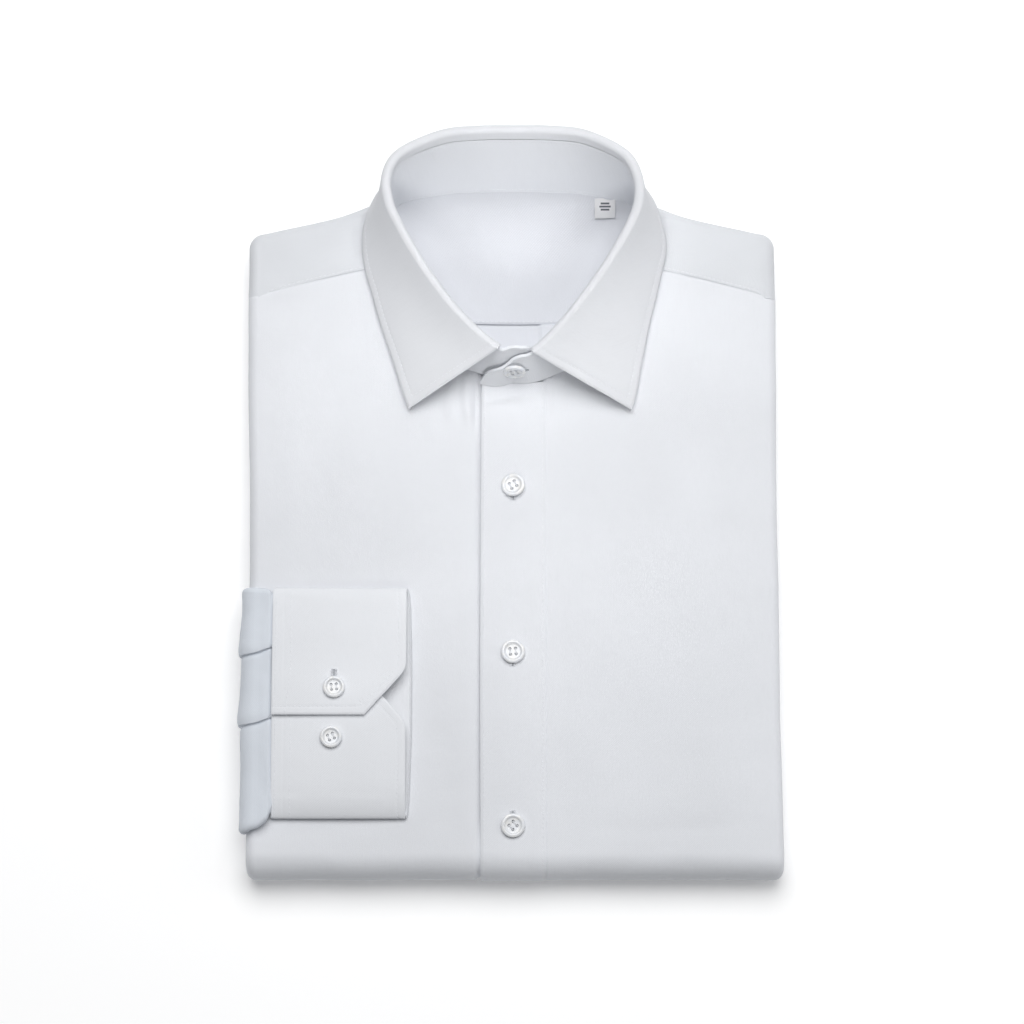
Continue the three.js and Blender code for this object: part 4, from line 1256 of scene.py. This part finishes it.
def inner_yoke():
    """The inner yoke as far as the neck shows it, pressed down along its seam."""
    turns = np.linspace(-7.2, 7.2, 130)
    grid = inside_neck(turns, INNER_SEAM_Y + GAP / 2, 50, graded(54, 1.3, 0.5, 4))
    x, y = grid[..., 0], grid[..., 1]
    inside = smooth(1 - neck_share(x, y), 0, 0.2)
    soft = 0.5 * rumple(x, y, 52, 3) * inside
    pressed = 0.7 * (1 - smooth(y - INNER_SEAM_Y, 0, 1.2))
    grid[..., 2] += soft - pressed + 0.2 + 0.4 * inside
    hint = (20, 60, (0, 0, 1))
    # The inner yoke takes the darker inner cloth: painted shade.
    inner = cloth_piece(
        "neck_yoke", grid, hint, BODY_WALL, "inner_cloth", "inner_cloth", "inner_yoke"
    )
    n = normals(grid, hint)
    sewn = stitching("neck_yoke_stitching", [(grid[-3, 20:-20], n[-3, 20:-20])])


def back_panel():
    """The strip of the back below the inner yoke, with one soft pleat."""
    turns = np.linspace(7.8, 2 * FRONT_MIDDLE - 7.8, 110)
    turns = np.where(turns > FRONT_MIDDLE, turns - 2 * FRONT_MIDDLE, turns)
    grid = inside_neck(turns, INNER_SEAM_Y + 1.6, -50, graded(30, 1.1, 0.5, 4))
    x, y = grid[..., 0], grid[..., 1]
    inside = 1 - neck_share(x, y)
    pleat = 0.9 * (smooth(x, 13.5, 15.0) - smooth(x, 22.0, 30.0))
    grid[..., 2] += 0.3 * rumple(x, y, 30, 5) * smooth(inside, 0, 0.2)
    grid[..., 2] += pleat * smooth(inside, 0, 0.3)
    grid[..., 2] -= 1.1 * smooth(y, 97.4, 99.2)  # it goes down under the yoke's seam
    hint = (15, 50, (0, 0, 1))
    # The back takes the darker inner cloth: painted shade.
    back = cloth_piece("back_panel", grid, hint, BODY_WALL, "inner_cloth", "inner_cloth", "back")


class SHIRT_OT_yokes(bpy.types.Operator):
    """Makes the outer yoke over the shoulders, and the inner yoke and back inside the neck."""

    bl_idname = "shirt.yokes"
    bl_label = "Yokes and back"

    def execute(self, context):
        outer_yoke()
        inner_yoke()
        back_panel()
        return {"FINISHED"}


# The folded layers under the shoulders: height of the underside, thickness, how far the edge
# is set back, and half the width.
TAIL_LAYERS = (
    (1.5, 2.3, 1.3, 121),
    (4.1, 2.2, 3.4, 117),
    (6.5, 2.2, 0.4, 119),
    (8.9, 2.0, 4.2, 114),
)
TAIL_DEPTH = 12.0
TAIL_WALL = 0.7


def tail_grid(base, thick, set_back, reach, seed):
    """One folded layer of the tail under the shoulders, bent back on itself at its edge."""
    xs = np.linspace(-reach, reach, 130)
    level = xs * 0
    end = tail_y(xs) + 2.6 - set_back + 0.5 * rumple(xs, level, 55, seed)
    r = thick / 2
    deep = TAIL_DEPTH * np.linspace(0, 1, 16)
    lower = [(end - d - r, base) for d in deep[::-1]]
    bend = [
        (end - r + r * math.cos(a), base + r + r * math.sin(a))
        for a in np.linspace(-math.pi / 2, math.pi / 2, 11)[1:-1]
    ]
    upper = [(end - d - r, base + thick) for d in deep]
    grid = np.array([np.stack([xs, y, level + z], axis=-1) for y, z in lower + bend + upper])
    grid[..., 2] += 0.18 * rumple(xs, level + seed, 34, seed + 2)
    return grid


class SHIRT_OT_hidden_layers(bpy.types.Operator):
    """Makes the layers folded inside, which show along the edges and at the tail."""

    bl_idname = "shirt.hidden_layers"
    bl_label = "Hidden layers"

    def execute(self, context):
        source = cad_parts["hidden_layers"]
        obj = bpy.data.objects.new("inner_layers", source.data.copy())
        context.scene.collection.objects.link(obj)
        with editing(obj):
            bpy.ops.mesh.remove_doubles(threshold=0.00001)
        layer = obj.data.uv_layers.active or obj.data.uv_layers.new(name="cloth")
        layer.name = "cloth"
        for polygon in obj.data.polygons:
            flat = abs(polygon.normal.x) < 0.7
            for k in polygon.loop_indices:
                p = obj.data.vertices[obj.data.loops[k].vertex_index].co
                layer.data[k].uv = (p.x if flat else p.z, p.y + p.z)
        bpy.ops.object.shade_smooth_by_angle(angle=math.radians(40))
        # The folded layers take the darker inner cloth: painted shade.
        place_piece(obj, "inner_cloth", ["hidden_layers"])
        for k, (base, thick, set_back, reach) in enumerate(TAIL_LAYERS, 1):
            grid = tail_grid(base, thick, set_back, reach, k)
            hint = (0, 60, (0, 0, -1))
            tail = cloth_piece(f"tail_layer_{k}", grid, hint, TAIL_WALL, "shirting", "shirting")
        return {"FINISHED"}


def band_grid():
    """The standing band's neck side, its left end past the middle over its right end."""
    end = FRONT_MIDDLE + BAND_END
    right = np.linspace(-end, -LEAF_END, 44)[:-1]
    left = np.linspace(LEAF_END, end, 44)[1:]
    turns = np.concatenate([right, np.linspace(-LEAF_END, LEAF_END, 300), left])
    lines = CollarLines(turns)
    top = band_top_share(turns)
    shares = graded(30, 1.4, 0.35, 3)
    rows = np.array([lines.neck_side(f * top) for f in shares])
    height = np.linalg.norm(rows[-1] - rows[0], axis=-1)
    from_top = (1 - shares)[:, None] * height[None, :]
    lift = -0.35 * (1 - smooth(from_top, 0, 0.8)) - 0.15 * bell(from_top, 1.8, 0.45)
    lift = lift + 0.25 * rumple(turns[None, :] * 18 + 0 * from_top, from_top, 60, 5)
    hint = (10, len(turns) // 2, (0, -1, 0.3))
    lift = lift * smooth(shares, 0, 0.2)[:, None]
    return rows + normals(rows, hint) * lift[..., None], hint


def band_seams(grid, hint):
    """Stitching along both edges on the neck side, and near both ends on the other side."""
    n = normals(grid, hint)
    outer = grid - n * (COLLAR_WALL + 0.02)
    seams = [(grid[row, 50:-50], n[row, 50:-50]) for row in (-5, 4)]
    return seams + [(outer[-5, end], -n[-5, end]) for end in (slice(2, 60), slice(-60, -2))]


def leaf_seams(grid, hint, from_edge, from_end, distance):
    """Stitching along the leaf's outer edge and up both its front edges."""
    low = len(grid) - 12
    columns = [j for j in range(grid.shape[1]) if from_end[low, j] > distance]
    seams = [seam_line(grid, hint, from_edge, distance, columns)]
    n = normals(grid, hint)
    rows = [i for i in range(16, len(grid)) if from_edge[i, 0] >= distance]
    right = [int(np.searchsorted(from_end[i, :60], distance)) for i in rows]
    left = [-1 - int(np.searchsorted(from_end[i, ::-1][:60], distance)) for i in rows]
    return seams + [(grid[rows, columns], n[rows, columns]) for columns in (right, left)]


class SHIRT_OT_collar(bpy.types.Operator):
    """Makes the standing band and the leaf that turns over it, with their stitching."""

    bl_idname = "shirt.collar"
    bl_label = "Collar"

    def execute(self, context):
        grid, hint = band_grid()
        band = cloth_piece(
            "band", grid, hint, COLLAR_WALL, "collar_cloth", "collar_cloth", "collar_band"
        )
        sewn = stitching("band_stitching", band_seams(grid, hint))
        grid, hint, from_edge, from_end = leaf_grid()
        # The leaf takes the darker leaf cloth: painted shade.
        leaf = cloth_piece(
            "leaf", grid, hint, COLLAR_WALL, "leaf_cloth", "collar_cloth", "collar_leaf"
        )
        distance = context.scene.shirt_sizes.edge_stitch / MM
        seams = leaf_seams(grid, hint, from_edge, from_end, distance)
        sewn = stitching("leaf_stitching", seams)
        return {"FINISHED"}


CUFF_HEM = ((1.2, 0.4), (6.0, 0.5))  # its two seams beside the sleeve: how far in, how wide


def cuff_rows():
    """Rows of the cuff round its tube: y, z, x of the free edge, and length so far."""
    step = np.linalg.norm(np.diff(CUFF[:, :2], axis=0), axis=1)
    along = np.concatenate([[0], np.cumsum(step)])
    at = graded(along[-1], 1.5, 0.35, 6) * along[-1]
    y, z, free = (np.interp(at, along, CUFF[:, k]) for k in range(3))
    return smoothed(y, 6), smoothed(z, 6), smoothed(free, 3), at


def cuff_grid(distance):
    """The cuff's outer face, with distances from its free edge and its seam."""
    y, z, free, at = cuff_rows()
    across = graded(66, 1.5, 0.35, 6)
    reach = (free - CUFF_SEAM_X)[:, None]
    x = CUFF_SEAM_X + reach * across[None, :]
    y, z = y[:, None] + 0 * x, z[:, None] + 0 * x
    grid = np.stack([x, y, z], axis=-1)
    hint = (10, 30, (0, 0, 1))
    slope = np.abs(np.gradient(free, at))
    from_free = (1 - across)[None, :] * reach / np.hypot(1, slope)[:, None]
    from_ends = np.minimum(at, at[-1] - at)[:, None] + 0 * x
    from_seam = across[None, :] * reach
    near = np.minimum(from_free, from_ends)
    edge = np.minimum(near, from_seam)
    lift = -0.40 * (1 - smooth(edge, 0, 0.9)) - 0.10 * bell(near, distance, 0.6)
    lift = lift + 0.04 * bell(near, distance / 2, 1.3)
    for gap, width in CUFF_HEM:
        lift = lift - 0.12 * bell(from_seam, gap, width)
    top_face = ((at < 60) | (at > at[-1] - 60))[:, None]
    lift = lift + 0.40 * rumple(x, y, 58, 6) * smooth(edge, 0, 9) * top_face
    return grid + normals(grid, hint) * lift[..., None], hint, from_free, from_seam, at


def cuff_seams(grid, hint, from_free, from_seam, at, distance):
    """Stitching along the cuff's free edge, its two ends and its hem."""
    n = normals(grid, hint)
    first = int(np.searchsorted(at, distance))
    last = len(at) - 1 - first
    rows = np.arange(first, last)
    picks = [(rows, np.abs(from_free[rows] - distance).argmin(axis=1))]
    for i in (first, last):
        picks.append((i, [j for j in range(5, grid.shape[1]) if from_free[i, j] > distance]))
    for gap, _ in CUFF_HEM:
        picks.append((slice(2, -2), int(np.abs(from_seam[0] - gap).argmin())))
    return [(grid[pick], n[pick]) for pick in picks]


class SHIRT_OT_cuff(bpy.types.Operator):
    """Makes the cuff, a flattened tube with overlapping mitred ends."""

    bl_idname = "shirt.cuff"
    bl_label = "Cuff"

    def execute(self, context):
        distance = context.scene.shirt_sizes.edge_stitch / MM
        grid, hint, *places = cuff_grid(distance)
        # The cuff takes the lighter cuff cloth: painted light.
        cuff = cloth_piece(
            "cuff", grid, hint, CUFF_WALL, "cuff_cloth", "collar_cloth", "cuff_right"
        )
        sewn = stitching("cuff_stitching", cuff_seams(grid, hint, *places, distance))
        return {"FINISHED"}


STRIP_POINTS = 20
SLEEVE_OUTSIDE = 64  # points of a ring on the side that shows
SLEEVE_WALL = 0.7


def sleeve_outside(strips, thick, grow):
    """The side of a ring that shows: y and height of its three strips and two pleats."""
    outer = []
    for i in range(3):
        last = i == 2
        for f in np.linspace(0, 1, STRIP_POINTS)[min(i, 1):]:
            y = strips[i] + (strips[i + 1] - strips[i]) * f
            crest = smooth(f, 0.25, 0.93) * (1 - 0.25 * bell(f, 1, 0.03))
            outer.append((y, thick + (0 if last else PLEAT_RAISE * grow * crest)))
        if not last:
            for f in (0.35, 0.7, 1.0):
                dip = thick + PLEAT_RAISE * grow * (1 - f) * 0.8 - 0.6 * f
                outer.append((strips[i + 1] - PLEAT_DROP * f, dip))
    return outer


def sleeve_ring(row):
    """One ring of the sleeve, from its near seam over the pleats and back under."""
    x, degrees, top, end, thick, lift = row
    angle = math.radians(degrees)
    slant = PLEAT_SLANT * (x - CUFF_SEAM_X) / -8.5 + (0.4 if degrees > 0 else 0)
    r = thick / 2
    y_top, y_end = top - r, end + r
    grow = 0.55 + 0.45 * min(abs(x - CUFF_SEAM_X) / 4, 1) if degrees == 0 else 1.0
    ring = sleeve_outside([y_top, *(y - slant for y in PLEATS), y_end], thick, grow)
    for a in np.linspace(0, math.pi, 13)[1:-1]:
        ring.append((y_end - r * math.sin(a), r + r * math.cos(a)))
    for f in np.linspace(0, 1, 50):
        ring.append((y_end + (y_top - y_end) * f, 0.0))
    for a in np.linspace(math.pi, 0, 13)[1:]:
        ring.append((y_top + r * math.sin(a), r + r * math.cos(a)))
    if degrees < 0.5:
        return [(x, y, 2 * PACK + GAP + out + lift) for y, out in ring]
    points = []
    for y, out in ring:
        reach = PACK / 2 + GAP + out + lift
        flattened = reach - 2.2 * abs(math.sin(angle))
        z = PACK * 1.5 + reach * math.cos(angle)
        points.append((SLEEVE_EDGE_X - flattened * math.sin(angle), y, z))
    return points


class SHIRT_OT_sleeve(bpy.types.Operator):
    """Makes the end of the sleeve with its two pleats, round the long edge of the body."""

    bl_idname = "shirt.sleeve"
    bl_label = "Sleeve"

    def execute(self, context):
        key = np.arange(len(SLEEVE))
        t = np.linspace(0, len(SLEEVE) - 1, 60)
        table = np.stack([np.interp(t, key, column) for column in SLEEVE.T], axis=1)
        grid = np.array([sleeve_ring(row) for row in table])
        hint = (10, 10, (0, 0, 1))
        outside = np.zeros(grid.shape[:2])
        outside[:, :SLEEVE_OUTSIDE] = 1
        x, y, z = grid[..., 0], grid[..., 1], grid[..., 2]
        soft = waves(x - z, y, (0.35, 26, 4), (0.2, 11, 6)) * outside
        soft = soft * smooth(t, 1.0, 3.5)[:, None]
        grid = grid + normals(grid, hint) * soft[..., None]
        # The sleeve takes the darker, bluer sleeve cloth: painted shade.
        sleeve = cloth_piece(
            "sleeve", grid, hint, SLEEVE_WALL, "sleeve_cloth", "shirting", "sleeve_right"
        )
        return {"FINISHED"}


class SHIRT_OT_size_tab(bpy.types.Operator):
    """Makes the small satin tab that hangs from the neck seam."""

    bl_idname = "shirt.size_tab"
    bl_label = "Size tab"

    def execute(self, context):
        low, high = (np.array(corner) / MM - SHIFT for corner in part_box("size_tab"))
        x0, x1 = low[0] + TAB_TRIM[0], high[0] + TAB_TRIM[1]
        y0, y1 = low[1] + TAB_TRIM[2], high[1]
        u, v = np.meshgrid(np.linspace(0, 1, 25), np.linspace(0, 1, 21))
        x = x0 + (x1 - x0) * u + 0.24 * v * (0.5 - u)
        y = y1 + TAB_RAISE + (y0 - y1) * v
        curl = 0.5 * np.sin(math.pi * v) + 0.25 * np.sin(2.2 * math.pi * u)
        grid = np.stack([x, y, hollow_top(x, y) + 1.9 + curl], axis=-1)
        hint = (10, 12, (0, 0, 1))
        tab = cloth_piece("tab", grid, hint, 0.5, "tab_satin", "tab_satin", "size_tab")
        return {"FINISHED"}


# Steps in over a button's face: inset as a share of the radius, rise as one of the height.
BUTTON_FACE = ((0.16, 0.14), (0.09, 0.0), (0.10, -0.30), (0.08, -0.05))
BUTTON_EDGE = 0.86  # height of the rim's side, as a share
HOLE_SPREAD, HOLE_RADIUS = 0.24, 0.135  # as shares of the radius
TIE_SIDES = 6
TIE_RADIUS, TIE_GAP, TIE_RISE = 0.16, 0.22, 0.36
HOLE_PITCH, HOLE_STITCH, HOLE_ROWS = 0.52, 0.78, 0.95
# Half sizes of the dark strip of painted shadow in a buttonhole's slit.
SLIT_SHADOW_HALF_WIDTH, SLIT_SHADOW_HALF_DEPTH = 0.3, 0.16


def button_mesh(radius, height):
    """One button on z = 0: a raised rim round a dished middle with four holes."""
    bpy.ops.object.select_all(action="DESELECT")
    side = height * BUTTON_EDGE
    bpy.ops.mesh.primitive_cylinder_add(
        vertices=56, radius=radius, depth=side, location=(0, 0, side / 2)
    )
    obj = bpy.context.object
    bpy.ops.object.transform_apply(location=True, rotation=False, scale=False)
    with editing(obj):
        bpy.ops.mesh.select_all(action="DESELECT")
    for polygon in obj.data.polygons:
        polygon.select = polygon.normal.z > 0.9
    bpy.ops.object.mode_set(mode="EDIT")
    bpy.ops.mesh.select_mode(type="FACE")
    for inset, rise in BUTTON_FACE:
        bpy.ops.mesh.inset(thickness=inset * radius, depth=0)
        bpy.ops.transform.translate(value=(0, 0, rise * height))
    bpy.ops.object.mode_set(mode="OBJECT")
    bevel = obj.modifiers.new("round", "BEVEL")
    bevel.width = radius * 0.055
    bevel.segments = 3
    bevel.limit_method = "ANGLE"
    bevel.angle_limit = math.radians(22)
    bpy.ops.object.modifier_apply(modifier=bevel.name)
    spread = radius * HOLE_SPREAD
    for x, y in ((spread, spread), (-spread, spread), (spread, -spread), (-spread, -spread)):
        bpy.ops.object.select_all(action="DESELECT")
        bpy.ops.mesh.primitive_cylinder_add(
            vertices=16,
            radius=radius * HOLE_RADIUS,
            depth=height * 3,
            location=(x, y, height / 2),
        )
        drill = bpy.context.object
        only(obj)
        cut = obj.modifiers.new("hole", "BOOLEAN")
        cut.operation = "DIFFERENCE"
        cut.solver = "EXACT"
        cut.object = drill
        bpy.ops.object.modifier_apply(modifier=cut.name)
        bpy.data.objects.remove(drill)
    mesh = obj.data
    bpy.data.objects.remove(obj)
    return mesh


def tie_shape(radius, height):
    """The four runs of thread through a button's holes, as points and faces."""
    spread = radius * HOLE_SPREAD
    ys = np.linspace(-spread * 1.25, spread * 1.25, 9)
    zs = height * 0.56 + TIE_RISE * np.cos(ys / spread / 1.25 * math.pi / 2)
    points, faces = [], []
    for x in (-spread - TIE_GAP, -spread + TIE_GAP, spread - TIE_GAP, spread + TIE_GAP):
        start = len(points)
        for y, z in zip(ys, zs):
            for k in range(TIE_SIDES):
                a = 2 * math.pi * k / TIE_SIDES
                points.append((x + TIE_RADIUS * math.cos(a), y, z + TIE_RADIUS * math.sin(a)))
        rings = [list(range(i, i + TIE_SIDES)) for i in range(start, len(points), TIE_SIDES)]
        for low, high in zip(rings[:-1], rings[1:]):
            for k in range(TIE_SIDES):
                after = (k + 1) % TIE_SIDES
                faces.append([low[k], low[after], high[after], high[k]])
        faces += [rings[0][::-1], rings[-1]]
    return np.array(points), faces


def turned_about(points, normal, spin):
    """Points with z turned to a normal, after a spin about z."""
    turn = Vector((0, 0, 1)).rotation_difference(Vector(normal)).to_matrix()
    c, s = math.cos(spin), math.sin(spin)
    x, y, z = np.asarray(points).T
    return np.stack([x * c - y * s, x * s + y * c, z], axis=1) @ np.array(turn).T


def button_shell(name, node, mesh, base, normal, spin):
    """The hard part of one button, from a copy of its kind's mesh."""
    copy = mesh.copy()
    obj = bpy.data.objects.new(name, copy)
    bpy.context.scene.collection.objects.link(obj)
    points = np.array([v.co for v in copy.vertices])
    points = turned_about(points, normal, spin) + base
    copy.vertices.foreach_set("co", (points * MM).astype(np.float32).ravel())
    copy.update()
    only(obj)
    bpy.ops.object.shade_smooth_by_angle(angle=math.radians(32))
    place_piece(obj, "button_shell", [node])


def buttonhole(names, ground, normal, turn, length):
    """Painted shadow in the slit along Y, with a row of thread on each of its long sides, then
    turned.
    """
    rows, ways = [], np.tile(normal, (12, 1))
    ys = np.linspace(-length / 2, length / 2, 12)
    for side in (-1, 1):
        row = np.stack([0 * ys + side * HOLE_ROWS, ys, 0 * ys], axis=1)
        rows.append((turned_about(row, normal, turn) + ground, ways))
    stitching(names[0], rows, pitch=HOLE_PITCH, turned=True, scale=HOLE_STITCH)
    half = np.array([SLIT_SHADOW_HALF_WIDTH, length / 2 - 0.3, SLIT_SHADOW_HALF_DEPTH])
    ends = (-1, 1)
    corners = np.array([[i, j, k] for i in ends for j in ends for k in ends]) * half
    faces = [[0, 1, 3, 2], [4, 6, 7, 5], [0, 4, 5, 1], [2, 3, 7, 6], [0, 2, 6, 4], [1, 5, 7, 3]]
    # A dark strip in the slit: painted shadow in the buttonhole's opening.
    slit = mesh_piece(names[1], turned_about(corners, normal, turn) + ground, faces)
    place_piece(slit, "slit")


class SHIRT_OT_buttons(bpy.types.Operator):
    """Makes the buttons with their thread, and the buttonholes under them."""

    bl_idname = "shirt.buttons"
    bl_label = "Buttons"

    def sew_on(self, node, kind, normal, spin, hole=0, hole_turn=0.0, hole_lift=0.0):
        """Sets a kind of button on its node's place, over a buttonhole of some length."""
        mesh, radius, height = kind
        low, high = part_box(node)
        centre = np.array((low + high) / 2) / MM
        normal = np.array(normal, float) / np.linalg.norm(normal)
        base = centre - normal * SHELL_SEAT
        part = node.replace("button", "{}").format
        button_shell(part("shell"), node, mesh, base, normal, spin)
        points, faces = tie_shape(radius, height)
        thread_piece(part("tie"), turned_about(points, normal, spin) + base - SHIFT, faces)
        if hole:
            sink = normal * (GAP + 0.05 - hole_lift)
            ground = base - SHIFT - sink + np.array([0, 4 * hole_lift, 0])
            buttonhole((part("hole"), part("slit")), ground, normal, hole_turn, hole)

    def execute(self, context):
        front, cuff, collar = (
            (button_mesh(radius, height), radius, height)
            for radius, height in ((5.9, 1.9), (5.4, 2.0), (5.7, 1.8))
        )
        self.sew_on("front_button_1", front, (-0.16, 0.10, 1), 0.5, 15)
        self.sew_on("front_button_2", front, (0.03, 0.04, 1), 0.1, 15)
        self.sew_on("front_button_3", front, (0.04, -0.05, 1), 0.75, 15)
        self.sew_on("cuff_button_1", cuff, (0.02, 0.02, 1), 0.1, 14.5, hole_lift=0.5)
        self.sew_on("cuff_button_2", cuff, (0.03, -0.03, 1), 0.4)
        lines = CollarLines(np.array([float(FRONT_MIDDLE)]))
        slope = unit(lines.touch - lines.seam)[0]
        out = np.cross(slope, (1, 0, 0))
        out = -out if out[1] > 0 else out
        out = out * math.cos(COLLAR_BUTTON_TILT) - slope * math.sin(COLLAR_BUTTON_TILT)
        self.sew_on("collar_button", collar, out, 0.3, 15, math.pi / 2)
        for mesh, _, _ in (front, cuff, collar):
            bpy.data.meshes.remove(mesh)
        return {"FINISHED"}


FLOOR_SIDE = 14.0  # metres, as are the places and sizes of the lights and camera
FLOOR_DROP = 0.0004
# Name, place, where it points, width, power in watts and spread in degrees.
LIGHTS = (
    ("key", (-0.02, 0.96, 2.3), (0, 0, 0), 2.4, 60, 180),
    ("fill", (1.3, 0.2, 1.1), (0, 0, 0), 1.2, 4.0, 180),
    ("collar", (0.0, -0.32, 0.36), (0, 0.15, 0.04), 0.2, 0.055, 40),
    ("neck", (0.0, 0.085, 0.094), (-0.002, 0.182, 0.05), 0.05, 0.0035, 70),
)
SKY_COLOUR = (0.95, 0.97, 1.0, 1)
SKY_STRENGTH = 0.15
CAMERA_TILT = math.radians(11)
CAMERA_DISTANCE = 1.9
CAMERA_LENS = 133.6
CAMERA_AIM = (0.0, 0.0, 0.022)  # from the middle of the design


class SHIRT_OT_stage(bpy.types.Operator):
    """Makes the plain floor, the soft studio lights and the camera."""

    bl_idname = "shirt.stage"
    bl_label = "Stage"

    def light(self, name, place, target, size, power, spread):
        data = bpy.data.lights.new(name, "AREA")
        data.shape = "DISK"
        data.size = size
        data.energy = power
        data.spread = math.radians(spread)
        obj = bpy.data.objects.new(name, data)
        obj.visible_camera = False
        obj.location = place
        obj.rotation_euler = (Vector(target) - Vector(place)).to_track_quat("-Z", "Y").to_euler()
        bpy.context.scene.collection.objects.link(obj)

    def execute(self, context):
        bpy.ops.object.select_all(action="DESELECT")
        bpy.ops.mesh.primitive_plane_add(size=1)
        floor = context.object
        floor.name = "floor"
        with editing(floor):
            bpy.ops.transform.resize(value=(FLOOR_SIDE, FLOOR_SIDE, 1))
            bpy.ops.transform.translate(value=(0, 0, -FLOOR_DROP))
        floor.data.materials.append(finish_of("floor"))
        world = bpy.data.worlds.new("studio")
        world.use_nodes = True
        sky = world.node_tree.nodes["Background"]
        sky.inputs["Color"].default_value = SKY_COLOUR
        sky.inputs["Strength"].default_value = SKY_STRENGTH
        context.scene.world = world
        context.scene.view_settings.view_transform = "Standard"
        for light in LIGHTS:
            self.light(*light)
        target = Vector(SHIFT * MM) + Vector(CAMERA_AIM)
        away = Vector((0, -math.sin(CAMERA_TILT), math.cos(CAMERA_TILT)))
        eye = target + CAMERA_DISTANCE * away
        data = bpy.data.cameras.new("camera")
        data.sensor_width = 36
        data.lens = CAMERA_LENS
        data.clip_start = 0.05
        data.clip_end = 50
        camera = bpy.data.objects.new("camera", data)
        camera.location = eye
        camera.rotation_euler = (target - eye).to_track_quat("-Z", "Y").to_euler()
        context.scene.collection.objects.link(camera)
        context.scene.camera = camera
        return {"FINISHED"}


class SHIRT_PT_panel(bpy.types.Panel):
    """Lists the shirt's pieces, sizes and colours."""

    bl_idname = "SHIRT_PT_panel"
    bl_label = "Folded dress shirt"
    bl_space_type = "VIEW_3D"
    bl_region_type = "UI"
    bl_category = "Shirt"

    def draw(self, context):
        for operator in OPERATORS:
            self.layout.operator(operator.bl_idname)
        for group in (context.scene.shirt_sizes, context.scene.shirt_colours):
            for name in group.__annotations__:
                self.layout.prop(group, name)


OPERATORS = (
    SHIRT_OT_stage,
    SHIRT_OT_fronts,
    SHIRT_OT_placket,
    SHIRT_OT_yokes,
    SHIRT_OT_hidden_layers,
    SHIRT_OT_collar,
    SHIRT_OT_sleeve,
    SHIRT_OT_cuff,
    SHIRT_OT_size_tab,
    SHIRT_OT_buttons,
)
CLASSES = (ShirtSizes, ShirtColours, *OPERATORS, SHIRT_PT_panel)


def register():
    for cls in CLASSES:
        bpy.utils.register_class(cls)
    bpy.types.Scene.shirt_sizes = PointerProperty(type=ShirtSizes)
    bpy.types.Scene.shirt_colours = PointerProperty(type=ShirtColours)


def unregister():
    del bpy.types.Scene.shirt_sizes
    del bpy.types.Scene.shirt_colours
    for cls in reversed(CLASSES):
        bpy.utils.unregister_class(cls)


def main():
    register()
    bpy.ops.shirt.stage()
    bpy.ops.shirt.fronts()
    bpy.ops.shirt.placket()
    bpy.ops.shirt.yokes()
    bpy.ops.shirt.hidden_layers()
    bpy.ops.shirt.collar()
    bpy.ops.shirt.sleeve()
    bpy.ops.shirt.cuff()
    bpy.ops.shirt.size_tab()
    bpy.ops.shirt.buttons()


if __name__ == "__main__":
    main()
